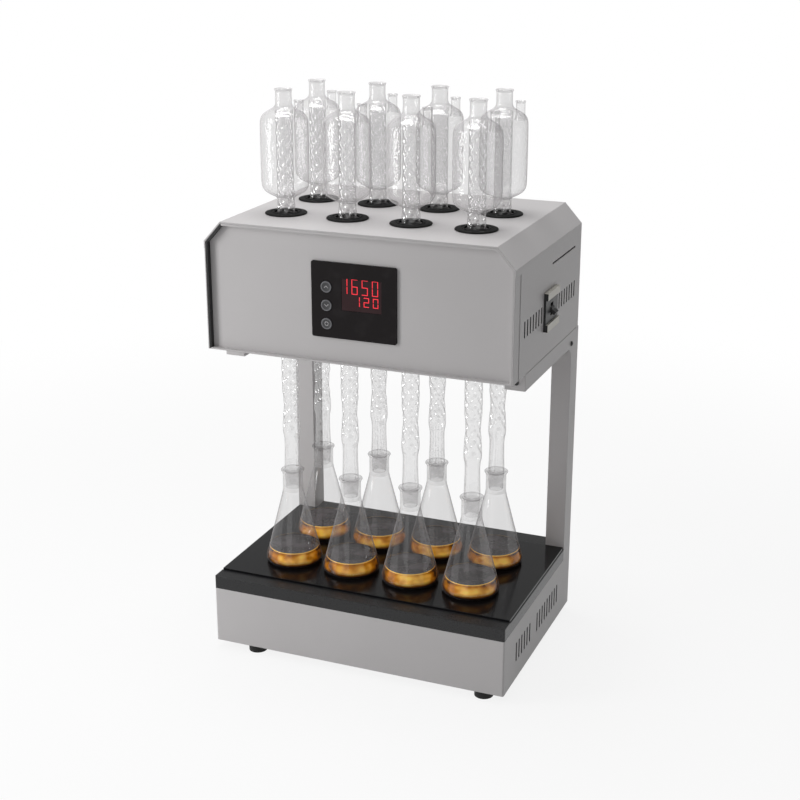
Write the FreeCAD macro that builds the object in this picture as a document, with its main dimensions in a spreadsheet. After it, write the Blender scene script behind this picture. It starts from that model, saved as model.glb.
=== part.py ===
"""Block digester with eight reflux places: a heated base, two uprights and a cooling head.

The head holds fans, a breaker and the controller. Eight conical flasks stand on the
glass-ceramic plate in two rows of four. A reflux condenser stands in each flask's ground
joint and rises through the head, with its water jacket above it.

Millimetres. X runs to the right, Y to the back and Z up. Sketches are drawn round the middle
of the base, and every sub-part is then placed so that the origin lies on the floor under the
middle of the whole outline.

Glass, collars and holes that repeat are turned in flat sides, so that eight sets stay light.
"""
import FreeCAD, Part
import math
import os
import re
import Sketcher

SIZES = {
    # Base housing, a folded sheet box that is open below
    "base_width": 448.0,
    "base_depth": 318.0,
    "base_height": 84.5,
    "base_sheet": 1.5,
    "corner_radius": 2.5,
    "bottom_sheet": 1.5,
    # Rubber feet
    "foot_height": 13.0,
    "foot_radius": 13.5,
    "foot_setback": 18.5,
    "foot_left_setback": 58.5,
    "foot_right_setback": 34.5,
    # Black frame round the heating plate, and the plate
    "frame_height": 19.0,
    "plate_side_inset": 1.0,
    "plate_front_inset": 24.7,
    "plate_rear_inset": 33.8,
    "plate_thickness": 4.0,
    "plate_proud": 2.5,
    # Heaters under the plate
    "field_side_margin": 25.0,
    "field_end_margin": 20.75,
    "tray_flange": 12.0,
    "tray_depth": 46.0,
    "tray_sheet": 1.2,
    "insulation_height": 56.0,
    "heater_side": 62.0,
    "heater_height": 16.0,
    "heater_bevel": 3.0,
    "probe_radius": 2.0,
    # Vents in the base
    "vent_width": 4.5,
    "vent_height": 30.0,
    "vent_pitch": 12.5,
    "base_vents_front": 53.0,
    "base_vents_rear": 151.0,
    "base_vent_count_front": 6,
    "base_vent_count_rear": 9,
    # Uprights: a post in each rear corner with an arm that carries the head
    "post_width": 29.0,
    "post_depth": 33.5,
    "post_wall": 2.0,
    "arm_height": 23.5,
    "arm_setback": 62.0,
    "arm_corner_radius": 20.0,
    # Head
    "bay_height": 346.5,
    "head_side_gap": 0.4,
    "head_height": 181.8,
    "head_front_setback": 9.8,
    "head_rear_setback": 2.6,
    "chamfer_width": 25.5,
    "chamfer_height": 28.3,
    "cover_sheet": 2.0,
    "band_depth": 23.0,
    "band_step": 0.6,
    "band_top_gap": 10.0,
    "liner_thickness": 3.0,
    "lip_thickness": 2.0,
    "recess_depth": 8.0,
    "panel_sheet": 2.0,
    "floor_sheet": 1.5,
    "floor_flange": 14.0,
    "rear_sheet": 1.5,
    "head_vent_height": 23.0,
    "head_vents_front": 41.2,
    "head_vents_rear": 106.4,
    "head_vent_count": 7,
    "head_vents_level": 64.0,
    "slit_height": 2.5,
    "slit_length": 112.0,
    "slit_setback": 142.4,
    "slit_level": 124.5,
    # Places for the glass
    "columns": 4,
    "rows": 2,
    "place_pitch": 93.3,
    "row_pitch": 106.4,
    "rows_shift": 5.15,
    "cover_hole_radius": 19.0,
    "floor_hole_radius": 17.0,
    "collar_radius": 29.3,
    "collar_bore_radius": 16.5,
    "collar_height": 3.0,
    # Control panel
    "bezel_width": 123.4,
    "bezel_height": 104.8,
    "bezel_depth": 3.0,
    "bezel_corner_radius": 3.0,
    "bezel_x": -3.0,
    "bezel_level": 87.5,
    "bezel_overlap": 6.0,
    "window_width": 58.0,
    "window_height": 44.0,
    "window_x": 8.5,
    "window_rise": 9.5,
    "window_sheet": 2.0,
    "display_depth": 8.0,
    "button_radius": 8.0,
    "button_x": -42.5,
    "button_pitch": 25.5,
    "button_rise": -7.5,
    "button_proud": 1.4,
    "button_length": 4.0,
    "button_count": 3,
    "board_sheet": 1.6,
    "board_gap": 10.0,
    "standoff_radius": 3.0,
    # Breaker in the right side of the head
    "breaker_width": 56.0,
    "breaker_height": 54.0,
    "breaker_proud": 6.0,
    "breaker_depth": 56.0,
    "breaker_y": 7.0,
    "breaker_level": 65.0,
    "breaker_step": 3.0,
    "breaker_tail_height": 80.0,
    "toggle_width": 12.0,
    "toggle_thickness": 5.0,
    "toggle_length": 10.0,
    "toggle_hub_radius": 4.5,
    "toggle_droop": 35.0,
    "bracket_sheet": 2.0,
    "bracket_height": 110.0,
    "bracket_foot": 16.0,
    # Fans behind the rear panel
    "fan_side": 80.0,
    "fan_depth": 25.0,
    "fan_bore_radius": 38.0,
    "fan_spacing": 220.0,
    "fan_level": 86.0,
    "fan_hub_radius": 17.0,
    "fan_hub_depth": 16.0,
    "fan_blade_radius": 36.5,
    "fan_blade_chord": 20.0,
    "fan_blade_thickness": 1.6,
    "fan_blade_pitch": 38.0,
    "fan_blade_count": 7,
    "fan_strut_width": 4.0,
    "fan_strut_depth": 3.0,
    "grille_slots": 12,
    "grille_slot_width": 6.0,
    "grille_inner_radius": 17.0,
    "grille_outer_radius": 36.0,
    # Wiring parts in the base
    "relay_width": 58.0,
    "relay_depth": 45.0,
    "relay_height": 22.0,
    "relay_fin_height": 12.0,
    "relay_fin_thickness": 2.0,
    "relay_fin_pitch": 7.0,
    "relay_fins": 8,
    "relay_side_gap": 134.0,
    "relay_setback": 31.0,
    "terminal_width": 66.0,
    "terminal_depth": 18.0,
    "terminal_height": 20.0,
    "terminal_side_gap": 134.0,
    "terminal_setback": 41.0,
    "terminal_pitch": 11.0,
    "terminal_ways": 5,
    "gland_side_gap": 74.0,
    "gland_level": 36.0,
    "gland_bore_radius": 5.0,
    "gland_thread_radius": 9.8,
    "gland_hex_radius": 13.0,
    "gland_hex_height": 7.0,
    "gland_dome_height": 13.0,
    "gland_dome_radius": 8.5,
    "gland_nut_height": 5.0,
    # Flask
    "flask_base_radius": 42.5,
    "flask_foot_radius": 37.5,
    "flask_foot_rise": 6.0,
    "flask_neck_radius": 15.0,
    "flask_neck_start": 112.0,
    "flask_height": 144.5,
    "flask_wall": 1.8,
    "flask_floor": 2.2,
    "sample_depth": 18.0,
    # Ground joint, a cone that narrows by a tenth of its length
    "joint_length": 29.0,
    "joint_top_radius": 12.0,
    "joint_taper": 0.05,
    # Condenser
    "plain_length": 50.0,
    "plain_radius": 10.8,
    "tube_radius": 13.2,
    "tube_bore_radius": 8.6,
    "waist_radius": 10.9,
    "waist_half_length": 42.0,
    "shoulder_length": 9.0,
    "jacket_start": 434.0,
    "jacket_radius": 33.5,
    "jacket_bottom_rise": 14.0,
    "jacket_straight": 94.0,
    "jacket_top_rise": 14.0,
    "jacket_wall": 1.8,
    "inner_tube_radius": 10.6,
    "neck_radius": 11.2,
    "neck_length": 25.5,
    "nozzle_offset": 23.0,
    "nozzle_radius": 6.6,
    "nozzle_bore_radius": 4.6,
    "nozzle_top_gap": 14.0,
    # Flat sides of what is turned, a multiple of four
    "round_sides": 20,
    "nozzle_sides": 12,
    "nut_sides": 6,
    # Gaps and overruns
    "fit_gap": 0.3,
    "slip_gap": 0.2,
    "joint_gap": 0.3,
    "cut_overrun": 5.0,
}

DOC = FreeCAD.newDocument("Digester")
PARTS = []


SHEET = DOC.addObject("Spreadsheet::Sheet", "Sizes")


def write_sheet():
    """Put every size in the spreadsheet under its own name."""
    for line, (name, value) in enumerate(SIZES.items(), start=1):
        SHEET.set(f"A{line}", name)
        SHEET.set(f"B{line}", str(value))
        SHEET.setAlias(f"B{line}", name)
    DOC.recompute()


def sized(words):
    """Turn words such as "base_width / 2" into an expression on the spreadsheet's cells."""
    def cell(match):
        return "Sizes." + match[0] if match[0] in SIZES else match[0]

    return re.sub(r"[a-z][a-z_0-9]*", cell, words)


def bind(item, prop, words):
    """Bind one property to an expression on the sizes."""
    item.setExpression(prop, sized(words))


# Places that several pieces share, from the floor up and from front to back
BASE_TOP = "(foot_height + base_height)"
FRAME_TOP = f"({BASE_TOP} + frame_height)"
PLATE_TOP = f"({FRAME_TOP} + plate_proud)"
PLATE_UNDER = f"({PLATE_TOP} - plate_thickness)"
PLATE_FRONT = "(plate_front_inset - base_depth / 2)"
PLATE_REAR = "(base_depth / 2 - plate_rear_inset)"
PLATE_WIDTH = "(base_width - 2 * plate_side_inset)"
ROWS_MIDDLE = f"(({PLATE_FRONT} + {PLATE_REAR}) / 2 - rows_shift)"
FIELD_WIDTH = f"({PLATE_WIDTH} - 2 * field_side_margin)"
FIELD_DEPTH = f"({PLATE_REAR} - {PLATE_FRONT} - 2 * field_end_margin)"
POST_FRONT = "(base_depth / 2 - post_depth)"
HEAD_BOTTOM = f"({FRAME_TOP} + bay_height)"
HEAD_TOP = f"({HEAD_BOTTOM} + head_height)"
HEAD_FRONT = "(head_front_setback - base_depth / 2)"
HEAD_REAR = "(base_depth / 2 - head_rear_setback)"
HEAD_WIDTH = "(base_width - 2 * head_side_gap)"
HEAD_DEPTH = "(base_depth - head_front_setback - head_rear_setback)"
PANEL_FRONT = f"({HEAD_FRONT} + recess_depth)"
PANEL_BACK = f"({PANEL_FRONT} + panel_sheet)"
FLOOR_TOP = f"({HEAD_BOTTOM} + floor_sheet)"
CHAMFER_SLANT = "sqrt(chamfer_width ^ 2 + chamfer_height ^ 2)"
JOINT_LOW_RADIUS = "(joint_top_radius - joint_length * joint_taper)"
BREAKER_FACE = f"({HEAD_WIDTH} / 2 + breaker_proud)"
BREAKER_BACK = f"({BREAKER_FACE} - breaker_depth)"
TOGGLE_X = f"({BREAKER_FACE} - toggle_hub_radius)"
TOGGLE_REACH = "(toggle_length * cos(toggle_droop) + toggle_thickness / 2 * sin(toggle_droop))"
RELAY_X, RELAY_Y = "(base_width / 2 - relay_side_gap)", "(base_depth / 2 - relay_setback)"
TERMINAL_X, TERMINAL_Y = "(terminal_side_gap - base_width / 2)", "(base_depth / 2 - terminal_setback)"
GLAND_X = "(gland_side_gap - base_width / 2)"
MIDDLE_X = f"(({TOGGLE_X} + {TOGGLE_REACH} - base_width / 2) / 2)"
MIDDLE_Y = "(gland_dome_height / 2)"
CONE_START = f"({PLATE_TOP} + flask_height - joint_length)"


def column_x(column):
    """The X of a column of places."""
    return f"(({column} - (columns - 1) / 2) * place_pitch)"


def row_y(row):
    """The Y of a row of places, the front row first."""
    return f"({ROWS_MIDDLE} + ({row} - (rows - 1) / 2) * row_pitch)"


def places():
    """Every place as its number, X and Y, the front row from left to right first."""
    for row in range(SIZES["rows"]):
        for column in range(SIZES["columns"]):
            yield row * SIZES["columns"] + column + 1, column_x(column), row_y(row)


# Tools that make sketches and features


def new_form(name, many_solids=False):
    """Start a body that only serves as the form of its clones."""
    body = DOC.addObject("PartDesign::Body", name)
    body.Label = name
    body.AllowCompound = many_solids
    return body


def new_body(name, many_solids=False):
    """Start a sub-part. Its own zero is the middle of the base on the floor."""
    body = new_form(name, many_solids)
    place(body, "0", "0", "0")
    PARTS.append(body)
    return body


def place(body, x, y, z):
    """Bind where a sub-part stands, counted from the middle of the base."""
    spots = (f"{x} - {MIDDLE_X}", f"{y} - {MIDDLE_Y}", z)
    for axis, words in zip("xyz", spots):
        bind(body, f"Placement.Base.{axis}", words)


def clone(name, form, x, y, z):
    """A sub-part that is a copy of a form, set in its own place."""
    body = new_body(name)
    copy = body.newObject("PartDesign::FeatureBase", f"{name}_copy")
    copy.BaseFeature = form
    body.Tip = copy
    place(body, x, y, z)


def origin_item(body, role):
    """A plane or axis of a body's own origin."""
    return next(item for item in body.Origin.OriginFeatures if item.Role == role)


def sketch_on(body, name, plane, level="0"):
    """A sketch on one of the body's own planes, moved to a level along X, Y or Z."""
    sketch = body.newObject("Sketcher::SketchObject", f"{body.Label}_{name}")
    sketch.AttachmentSupport = [(origin_item(body, plane), "")]
    sketch.MapMode = "FlatFace"
    side = "-" if plane == "XZ_Plane" else ""
    bind(sketch, "AttachmentOffset.Base.z", f"{side}({level})")
    return sketch


def outline(sketch, corners):
    """A closed outline of straight lines through corners that are bound to the sizes."""
    first = sketch.GeometryCount
    count = len(corners)
    turns = [2 * math.pi * number / count for number in range(count)]
    seeds = [FreeCAD.Vector(math.cos(turn), math.sin(turn), 0) for turn in turns]
    for number in range(count):
        sketch.addGeometry(Part.LineSegment(seeds[number], seeds[(number + 1) % count]), False)
    for number, corner in enumerate(corners):
        here = first + number
        after = first + (number + 1) % count
        sketch.addConstraint(Sketcher.Constraint("Coincident", here, 2, after, 1))
        for kind, words, seed in zip(("DistanceX", "DistanceY"), corner, seeds[number]):
            rule = sketch.addConstraint(Sketcher.Constraint(kind, -1, 1, here, 1, seed))
            bind(sketch, f"Constraints[{rule}]", words)


def rectangle(sketch, left, right, low, high):
    """A rectangle between two sides and two levels."""
    outline(sketch, [(left, low), (right, low), (right, high), (left, high)])


def box_round(sketch, x, y, width, height):
    """A rectangle round its own middle."""
    rectangle(
        sketch,
        f"{x} - ({width}) / 2",
        f"{x} + ({width}) / 2",
        f"{y} - ({height}) / 2",
        f"{y} + ({height}) / 2",
    )


def circle(sketch, x, y, radius):
    """A circle that is bound to the sizes."""
    ring = Part.Circle(FreeCAD.Vector(1, 1, 0), FreeCAD.Vector(0, 0, 1), 1)
    number = sketch.addGeometry(ring, False)
    for kind, words in (("DistanceX", x), ("DistanceY", y)):
        rule = sketch.addConstraint(Sketcher.Constraint(kind, -1, 1, number, 3, 1))
        bind(sketch, f"Constraints[{rule}]", words)
    rule = sketch.addConstraint(Sketcher.Constraint("Radius", number, 1))
    bind(sketch, f"Constraints[{rule}]", radius)


def many_sided(sketch, x, y, radius, sides="round_sides"):
    """A regular outline with its corners on a circle, one of them straight along the axis."""
    turns = [f"{number} * 360 / {sides}" for number in range(SIZES[sides])]
    outline(sketch, [(f"{x} + ({radius}) * cos({t})", f"{y} + ({radius}) * sin({t})") for t in turns])


def runs_backwards(sketch, towards, cuts):
    """Whether a feature must be reversed to run towards "+" or "-" along its plane's axis."""
    plane = sketch.AttachmentSupport[0][0].Role
    normal_is_plus = plane != "XZ_Plane"
    wanted = "-" if cuts else "+"
    return (towards == wanted) != normal_is_plus


def pad(body, sketch, length, towards="+", taper=None):
    """Build a solid out of a sketch."""
    feature = body.newObject("PartDesign::Pad", f"{sketch.Name}_pad")
    feature.Profile = sketch
    bind(feature, "Length", length)
    feature.Reversed = runs_backwards(sketch, towards, cuts=False)
    if taper:
        bind(feature, "TaperAngle", taper)
    return feature


def pocket(body, sketch, length, towards="-"):
    """Cut a sketch out of a solid."""
    feature = body.newObject("PartDesign::Pocket", f"{sketch.Name}_cut")
    feature.Profile = sketch
    bind(feature, "Length", length)
    feature.Reversed = runs_backwards(sketch, towards, cuts=True)
    return feature


def pocket_both_ways(body, sketch, width):
    """Cut a sketch out of a solid, half of the width to each side of its plane."""
    feature = body.newObject("PartDesign::Pocket", f"{sketch.Name}_cut")
    feature.Profile = sketch
    bind(feature, "Length", width)
    feature.Midplane = True
    return feature


def line_up(body, feature, sketch, length, count):
    """Repeat a feature along the sketch's own first axis."""
    pattern = body.newObject("PartDesign::LinearPattern", f"{feature.Name}_row")
    pattern.Originals = [feature]
    pattern.Direction = (sketch, ["H_Axis"])
    bind(pattern, "Length", length)
    bind(pattern, "Occurrences", count)
    body.Tip = pattern
    return pattern


def first_column(sketch, radius):
    """A many-sided outline at the first column's place in each row."""
    for row in range(SIZES["rows"]):
        many_sided(sketch, column_x(0), row_y(row), radius)


def every_column(body, feature, sketch):
    """Repeat what was made at the first column at every other one."""
    line_up(body, feature, sketch, "(columns - 1) * place_pitch", "columns")


def ring_up(body, feature, axis, count):
    """Repeat a feature round one of the body's own axes."""
    pattern = body.newObject("PartDesign::PolarPattern", f"{feature.Name}_ring")
    pattern.Originals = [feature]
    pattern.Axis = (origin_item(body, axis), [""])
    bind(pattern, "Occurrences", count)
    body.Tip = pattern
    return pattern


def round_edges(body, radius, wanted):
    """Round the straight edges of a body that a test on their two ends picks."""
    DOC.recompute()
    solid = body.Tip
    names = []
    for number, edge in enumerate(solid.Shape.Edges, start=1):
        ends = [vertex.Point for vertex in edge.Vertexes]
        if len(ends) == 2 and wanted(*ends):
            names.append(f"Edge{number}")
    feature = body.newObject("PartDesign::Fillet", f"{body.Label}_rounding")
    feature.Base = (solid, names)
    bind(feature, "Radius", radius)
    return feature


def upright_edge(low, high):
    """Whether an edge runs along Z."""
    return abs(low.x - high.x) + abs(low.y - high.y) < abs(low.z - high.z) / 100


# Base


def base_corners(inset):
    """The base's footprint, notched at both rear corners where the posts stand."""
    side = f"base_width / 2 - {inset}"
    front = f"{inset} - base_depth / 2"
    rear = f"base_depth / 2 - {inset}"
    notch_side = f"base_width / 2 - post_width - {inset}"
    notch_front = f"{POST_FRONT} - {inset}"
    right = [(side, front), (side, notch_front), (notch_side, notch_front), (notch_side, rear)]
    left = [(f"-({x})", y) for x, y in reversed(right)]
    return right + left


def front_corner(low, high):
    """Whether an edge is an outer front corner of the base."""
    side = abs(abs(low.x) - SIZES["base_width"] / 2)
    front = abs(low.y + SIZES["base_depth"] / 2)
    return upright_edge(low, high) and side + front < SIZES["slip_gap"]


def heater_field(sketch, inset):
    """The rectangle under the plate that the heaters fill."""
    width, depth = f"{FIELD_WIDTH} - 2 * ({inset})", f"{FIELD_DEPTH} - 2 * ({inset})"
    box_round(sketch, "0", ROWS_MIDDLE, width, depth)


def vent_row(body, name, start, low, height, count, width):
    """A row of upright slots through both side walls."""
    slots = sketch_on(body, name, "YZ_Plane")
    rectangle(slots, start, f"{start} + vent_width", low, f"{low} + {height}")
    cut = pocket_both_ways(body, slots, f"{width} + cut_overrun")
    line_up(body, cut, slots, f"({count} - 1) * vent_pitch", count)


def make_base_shell():
    """The sheet housing: four walls, a top with the heaters' opening, and side vents."""
    body = new_body("base_shell")
    block = sketch_on(body, "block", "XY_Plane", "foot_height")
    outline(block, base_corners("0"))
    pad(body, block, "base_height")
    hollow = sketch_on(body, "hollow", "XY_Plane", "foot_height")
    outline(hollow, base_corners("base_sheet"))
    pocket(body, hollow, "base_height - base_sheet", towards="+")
    mouth = sketch_on(body, "mouth", "XY_Plane", BASE_TOP)
    heater_field(mouth, "tray_flange - fit_gap")
    pocket(body, mouth, "base_sheet + cut_overrun")
    low = "foot_height + (base_height - vent_height) / 2"
    front, rear = "base_vents_front - base_depth / 2", "base_vents_rear - base_depth / 2"
    vent_row(body, "vents_front", front, low, "vent_height", "base_vent_count_front", "base_width")
    vent_row(body, "vents_rear", rear, low, "vent_height", "base_vent_count_rear", "base_width")
    inlet = sketch_on(body, "inlet", "XZ_Plane", "base_depth / 2")
    many_sided(inlet, GLAND_X, "gland_level", "gland_thread_radius + slip_gap")
    pocket(body, inlet, "base_sheet + cut_overrun")
    round_edges(body, "corner_radius", front_corner)


def foot_places():
    """The middle of each foot, the rear pair clear of the posts."""
    for x in ("(foot_left_setback - base_width / 2)", "(base_width / 2 - foot_right_setback)"):
        yield x, "(foot_setback - base_depth / 2)"
        yield x, "(base_depth / 2 - foot_setback)"


def make_bottom_plate():
    """The sheet that closes the base from below."""
    body = new_body("bottom_plate")
    sheet = sketch_on(body, "sheet", "XY_Plane", "foot_height")
    outline(sheet, base_corners("(base_sheet + slip_gap)"))
    pad(body, sheet, "bottom_sheet")


def make_feet():
    """Four rubber feet under the base."""
    body = new_body("rubber_feet", many_solids=True)
    pucks = sketch_on(body, "pucks", "XY_Plane")
    for x, y in foot_places():
        circle(pucks, x, y, "foot_radius")
    pad(body, pucks, "foot_height")


def make_plate_frame():
    """The black frame on the base: a seat for the plate and an opening for the heaters."""
    body = new_body("plate_frame")
    block = sketch_on(body, "block", "XY_Plane", BASE_TOP)
    outline(block, base_corners("0"))
    pad(body, block, "frame_height")
    seat = sketch_on(body, "seat", "XY_Plane", FRAME_TOP)
    reach = "base_width / 2 + cut_overrun"
    gap = "slip_gap"
    front, rear = f"{PLATE_FRONT} - {gap}", f"{PLATE_REAR} + {gap}"
    rectangle(seat, f"-({reach})", reach, front, rear)
    pocket(body, seat, "plate_thickness - plate_proud")
    mouth = sketch_on(body, "mouth", "XY_Plane", FRAME_TOP)
    heater_field(mouth, "0")
    pocket(body, mouth, "frame_height + cut_overrun")
    round_edges(body, "corner_radius", front_corner)


def make_ceramic_plate():
    """The black glass-ceramic heating plate."""
    body = new_body("ceramic_plate")
    sheet = sketch_on(body, "sheet", "XY_Plane", PLATE_UNDER)
    side = f"{PLATE_WIDTH} / 2"
    rectangle(sheet, f"-{side}", side, PLATE_FRONT, PLATE_REAR)
    pad(body, sheet, "plate_thickness")


# Heaters


def make_heater_tray():
    """A sheet tray that hangs by its flange from the base's top and holds the insulation."""
    body = new_body("heater_tray")
    flange = sketch_on(body, "flange", "XY_Plane", BASE_TOP)
    heater_field(flange, "fit_gap")
    pad(body, flange, "tray_sheet")
    box = sketch_on(body, "box", "XY_Plane", f"{BASE_TOP} + tray_sheet")
    heater_field(box, "tray_flange")
    pad(body, box, "tray_depth", towards="-")
    hollow = sketch_on(body, "hollow", "XY_Plane", f"{BASE_TOP} + tray_sheet")
    heater_field(hollow, "tray_flange + tray_sheet")
    pocket(body, hollow, "tray_depth - tray_sheet")
    hole = sketch_on(body, "probe_hole", "XY_Plane", BASE_TOP)
    many_sided(hole, "0", ROWS_MIDDLE, "probe_radius + fit_gap", "nozzle_sides")
    pocket(body, hole, "tray_depth + cut_overrun")


TRAY_FLOOR = f"({BASE_TOP} + 2 * tray_sheet - tray_depth)"
HEATER_LOW = f"({PLATE_UNDER} - fit_gap - heater_height)"


def make_insulation():
    """The insulating board in the tray, with a square well for each heater."""
    body = new_body("insulation_board")
    board = sketch_on(body, "board", "XY_Plane", TRAY_FLOOR)
    heater_field(board, "tray_flange + tray_sheet + fit_gap")
    pad(body, board, "insulation_height")
    wells = sketch_on(body, "wells", "XY_Plane", HEATER_LOW)
    for _, x, y in places():
        box_round(wells, x, y, "heater_side + 2 * fit_gap", "heater_side + 2 * fit_gap")
    pocket(body, wells, "heater_height + tray_depth", towards="+")
    hole = sketch_on(body, "probe_hole", "XY_Plane", TRAY_FLOOR)
    many_sided(hole, "0", ROWS_MIDDLE, "probe_radius + fit_gap", "nozzle_sides")
    pocket(body, hole, "insulation_height + cut_overrun", towards="+")


def make_heaters():
    """Eight square ceramic infrared heaters, one under each place."""
    body = new_body("heater_elements", many_solids=True)
    tiles = sketch_on(body, "tiles", "XY_Plane", HEATER_LOW)
    for _, x, y in places():
        box_round(tiles, x, y, "heater_side", "heater_side")
    pad(body, tiles, "heater_height")
    grooves = sketch_on(body, "grooves", "XY_Plane", f"{PLATE_UNDER} - fit_gap")
    for _, x, y in places():
        box_round(grooves, x, y, "heater_side - 2 * heater_bevel", "heater_bevel")
    pocket(body, grooves, "heater_bevel")


def make_probe():
    """The temperature probe that stands under the middle of the plate."""
    body = new_body("temperature_probe")
    rod = sketch_on(body, "rod", "XY_Plane", f"{TRAY_FLOOR} - 2 * tray_sheet")
    many_sided(rod, "0", ROWS_MIDDLE, "probe_radius", "nozzle_sides")
    pad(body, rod, f"{PLATE_UNDER} - fit_gap - ({TRAY_FLOOR} - 2 * tray_sheet)")


# Wiring parts in the base


def make_relay():
    """The power relay with its finned heat sink on the bottom plate."""
    body = new_body("power_relay")
    level = "foot_height + bottom_sheet"
    foot = sketch_on(body, "foot", "XY_Plane", level)
    middle = f"({RELAY_Y} - relay_depth)"
    box_round(foot, RELAY_X, middle, "relay_width", "relay_depth")
    pad(body, foot, "relay_height")
    fin = sketch_on(body, "fin", "XY_Plane", f"{level} + relay_height")
    left = f"{RELAY_X} - relay_width / 2"
    low, high = f"{middle} - relay_depth / 2", f"{middle} + relay_depth / 2"
    rectangle(fin, left, f"{left} + relay_fin_thickness", low, high)
    fins = pad(body, fin, "relay_fin_height")
    line_up(body, fins, fin, "(relay_fins - 1) * relay_fin_pitch", "relay_fins")


def make_terminals():
    """The terminal block for the mains leads, with a groove between its ways."""
    body = new_body("terminal_block")
    level = "foot_height + bottom_sheet"
    block = sketch_on(body, "block", "XY_Plane", level)
    box_round(block, TERMINAL_X, TERMINAL_Y, "terminal_width", "terminal_depth")
    pad(body, block, "terminal_height")
    groove = sketch_on(body, "groove", "XY_Plane", f"{level} + terminal_height")
    left = f"{TERMINAL_X} - terminal_width / 2 + terminal_pitch - base_sheet / 2"
    low = f"{TERMINAL_Y} - terminal_depth / 2 - cut_overrun"
    high = f"{TERMINAL_Y} + terminal_depth / 2 + cut_overrun"
    rectangle(groove, left, f"{left} + base_sheet", low, high)
    cut = pocket(body, groove, "terminal_height / 2")
    line_up(body, cut, groove, "(terminal_ways - 1) * terminal_pitch", "terminal_ways")


def make_gland():
    """The cable gland in the base's rear wall: dome, hexagon, thread and lock nut."""
    body = new_body("cable_gland")
    rear = "base_depth / 2"
    nut = sketch_on(body, "hexagon", "XZ_Plane", rear)
    many_sided(nut, GLAND_X, "gland_level", "gland_hex_radius", "nut_sides")
    pad(body, nut, "gland_hex_height", towards="+")
    dome = sketch_on(body, "dome", "XZ_Plane", f"{rear} + gland_hex_height")
    many_sided(dome, GLAND_X, "gland_level", "gland_dome_radius")
    pad(body, dome, "gland_dome_height - gland_hex_height", towards="+")
    thread = sketch_on(body, "thread", "XZ_Plane", rear)
    many_sided(thread, GLAND_X, "gland_level", "gland_thread_radius")
    pad(body, thread, "base_sheet + gland_nut_height + fit_gap", towards="-")
    lock = sketch_on(body, "lock", "XZ_Plane", f"{rear} - base_sheet - slip_gap")
    many_sided(lock, GLAND_X, "gland_level", "gland_hex_radius", "nut_sides")
    pad(body, lock, "gland_nut_height", towards="-")
    bore = sketch_on(body, "bore", "XZ_Plane", f"{rear} + gland_dome_height")
    circle(bore, GLAND_X, "gland_level", "gland_bore_radius")
    pocket(body, bore, "gland_dome_height + base_sheet + gland_nut_height + cut_overrun")


# Uprights


def arm_corner(low, high):
    """Whether an edge is the inner corner between post and arm."""
    along = abs(low.x - high.x)
    spread = abs(low.y - high.y) + abs(low.z - high.z)
    post_front = SIZES["base_depth"] / 2 - SIZES["post_depth"]
    at_front = abs(low.y - post_front) < SIZES["slip_gap"]
    return spread < along / 100 and at_front and low.z > SIZES["bay_height"]


def make_upright(name, side):
    """A welded box-section upright: a post from the base's foot and an arm under the head."""
    body = new_body(name)
    middle = f"{side} * (base_width - post_width) / 2"
    arm_front = "(arm_setback - base_depth / 2)"
    arm_low = f"({HEAD_BOTTOM} - arm_height)"
    skin = sketch_on(body, "skin", "YZ_Plane", f"{middle} - post_width / 2")
    rear = "base_depth / 2"
    corners = [
        (POST_FRONT, "foot_height"),
        (rear, "foot_height"),
        (rear, HEAD_BOTTOM),
        (arm_front, HEAD_BOTTOM),
        (arm_front, arm_low),
        (POST_FRONT, arm_low),
    ]
    outline(skin, corners)
    pad(body, skin, "post_width")
    round_edges(body, "arm_corner_radius", arm_corner)
    hollow = sketch_on(body, "hollow", "YZ_Plane", middle)
    wall = "post_wall"
    outline(hollow, [
        (f"{POST_FRONT} + {wall}", "0"),
        (f"{rear} - {wall}", "0"),
        (f"{rear} - {wall}", f"{HEAD_BOTTOM} - {wall}"),
        (f"{arm_front} + {wall}", f"{HEAD_BOTTOM} - {wall}"),
        (f"{arm_front} + {wall}", f"{arm_low} + {wall}"),
        (f"{POST_FRONT} + {wall}", f"{arm_low} + {wall}"),
    ])
    pocket_both_ways(body, hollow, "post_width - 2 * post_wall")


# Head


def head_section(inset, bottom):
    """The head's section seen from the front, moved inwards all round by the inset."""
    side = f"({HEAD_WIDTH} / 2 - ({inset}))"
    top = f"({HEAD_TOP} - ({inset}))"
    drop = f"(({inset}) * ({CHAMFER_SLANT} - chamfer_height) / chamfer_width)"
    run = f"(({inset}) * ({CHAMFER_SLANT} - chamfer_width) / chamfer_height)"
    shoulder = f"({HEAD_TOP} - chamfer_height - {drop})"
    ridge = f"({HEAD_WIDTH} / 2 - chamfer_width - {run})"
    right = [(side, bottom), (side, shoulder), (ridge, top)]
    left = [(f"-{x}", z) for x, z in reversed(right)]
    return right + left


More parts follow.
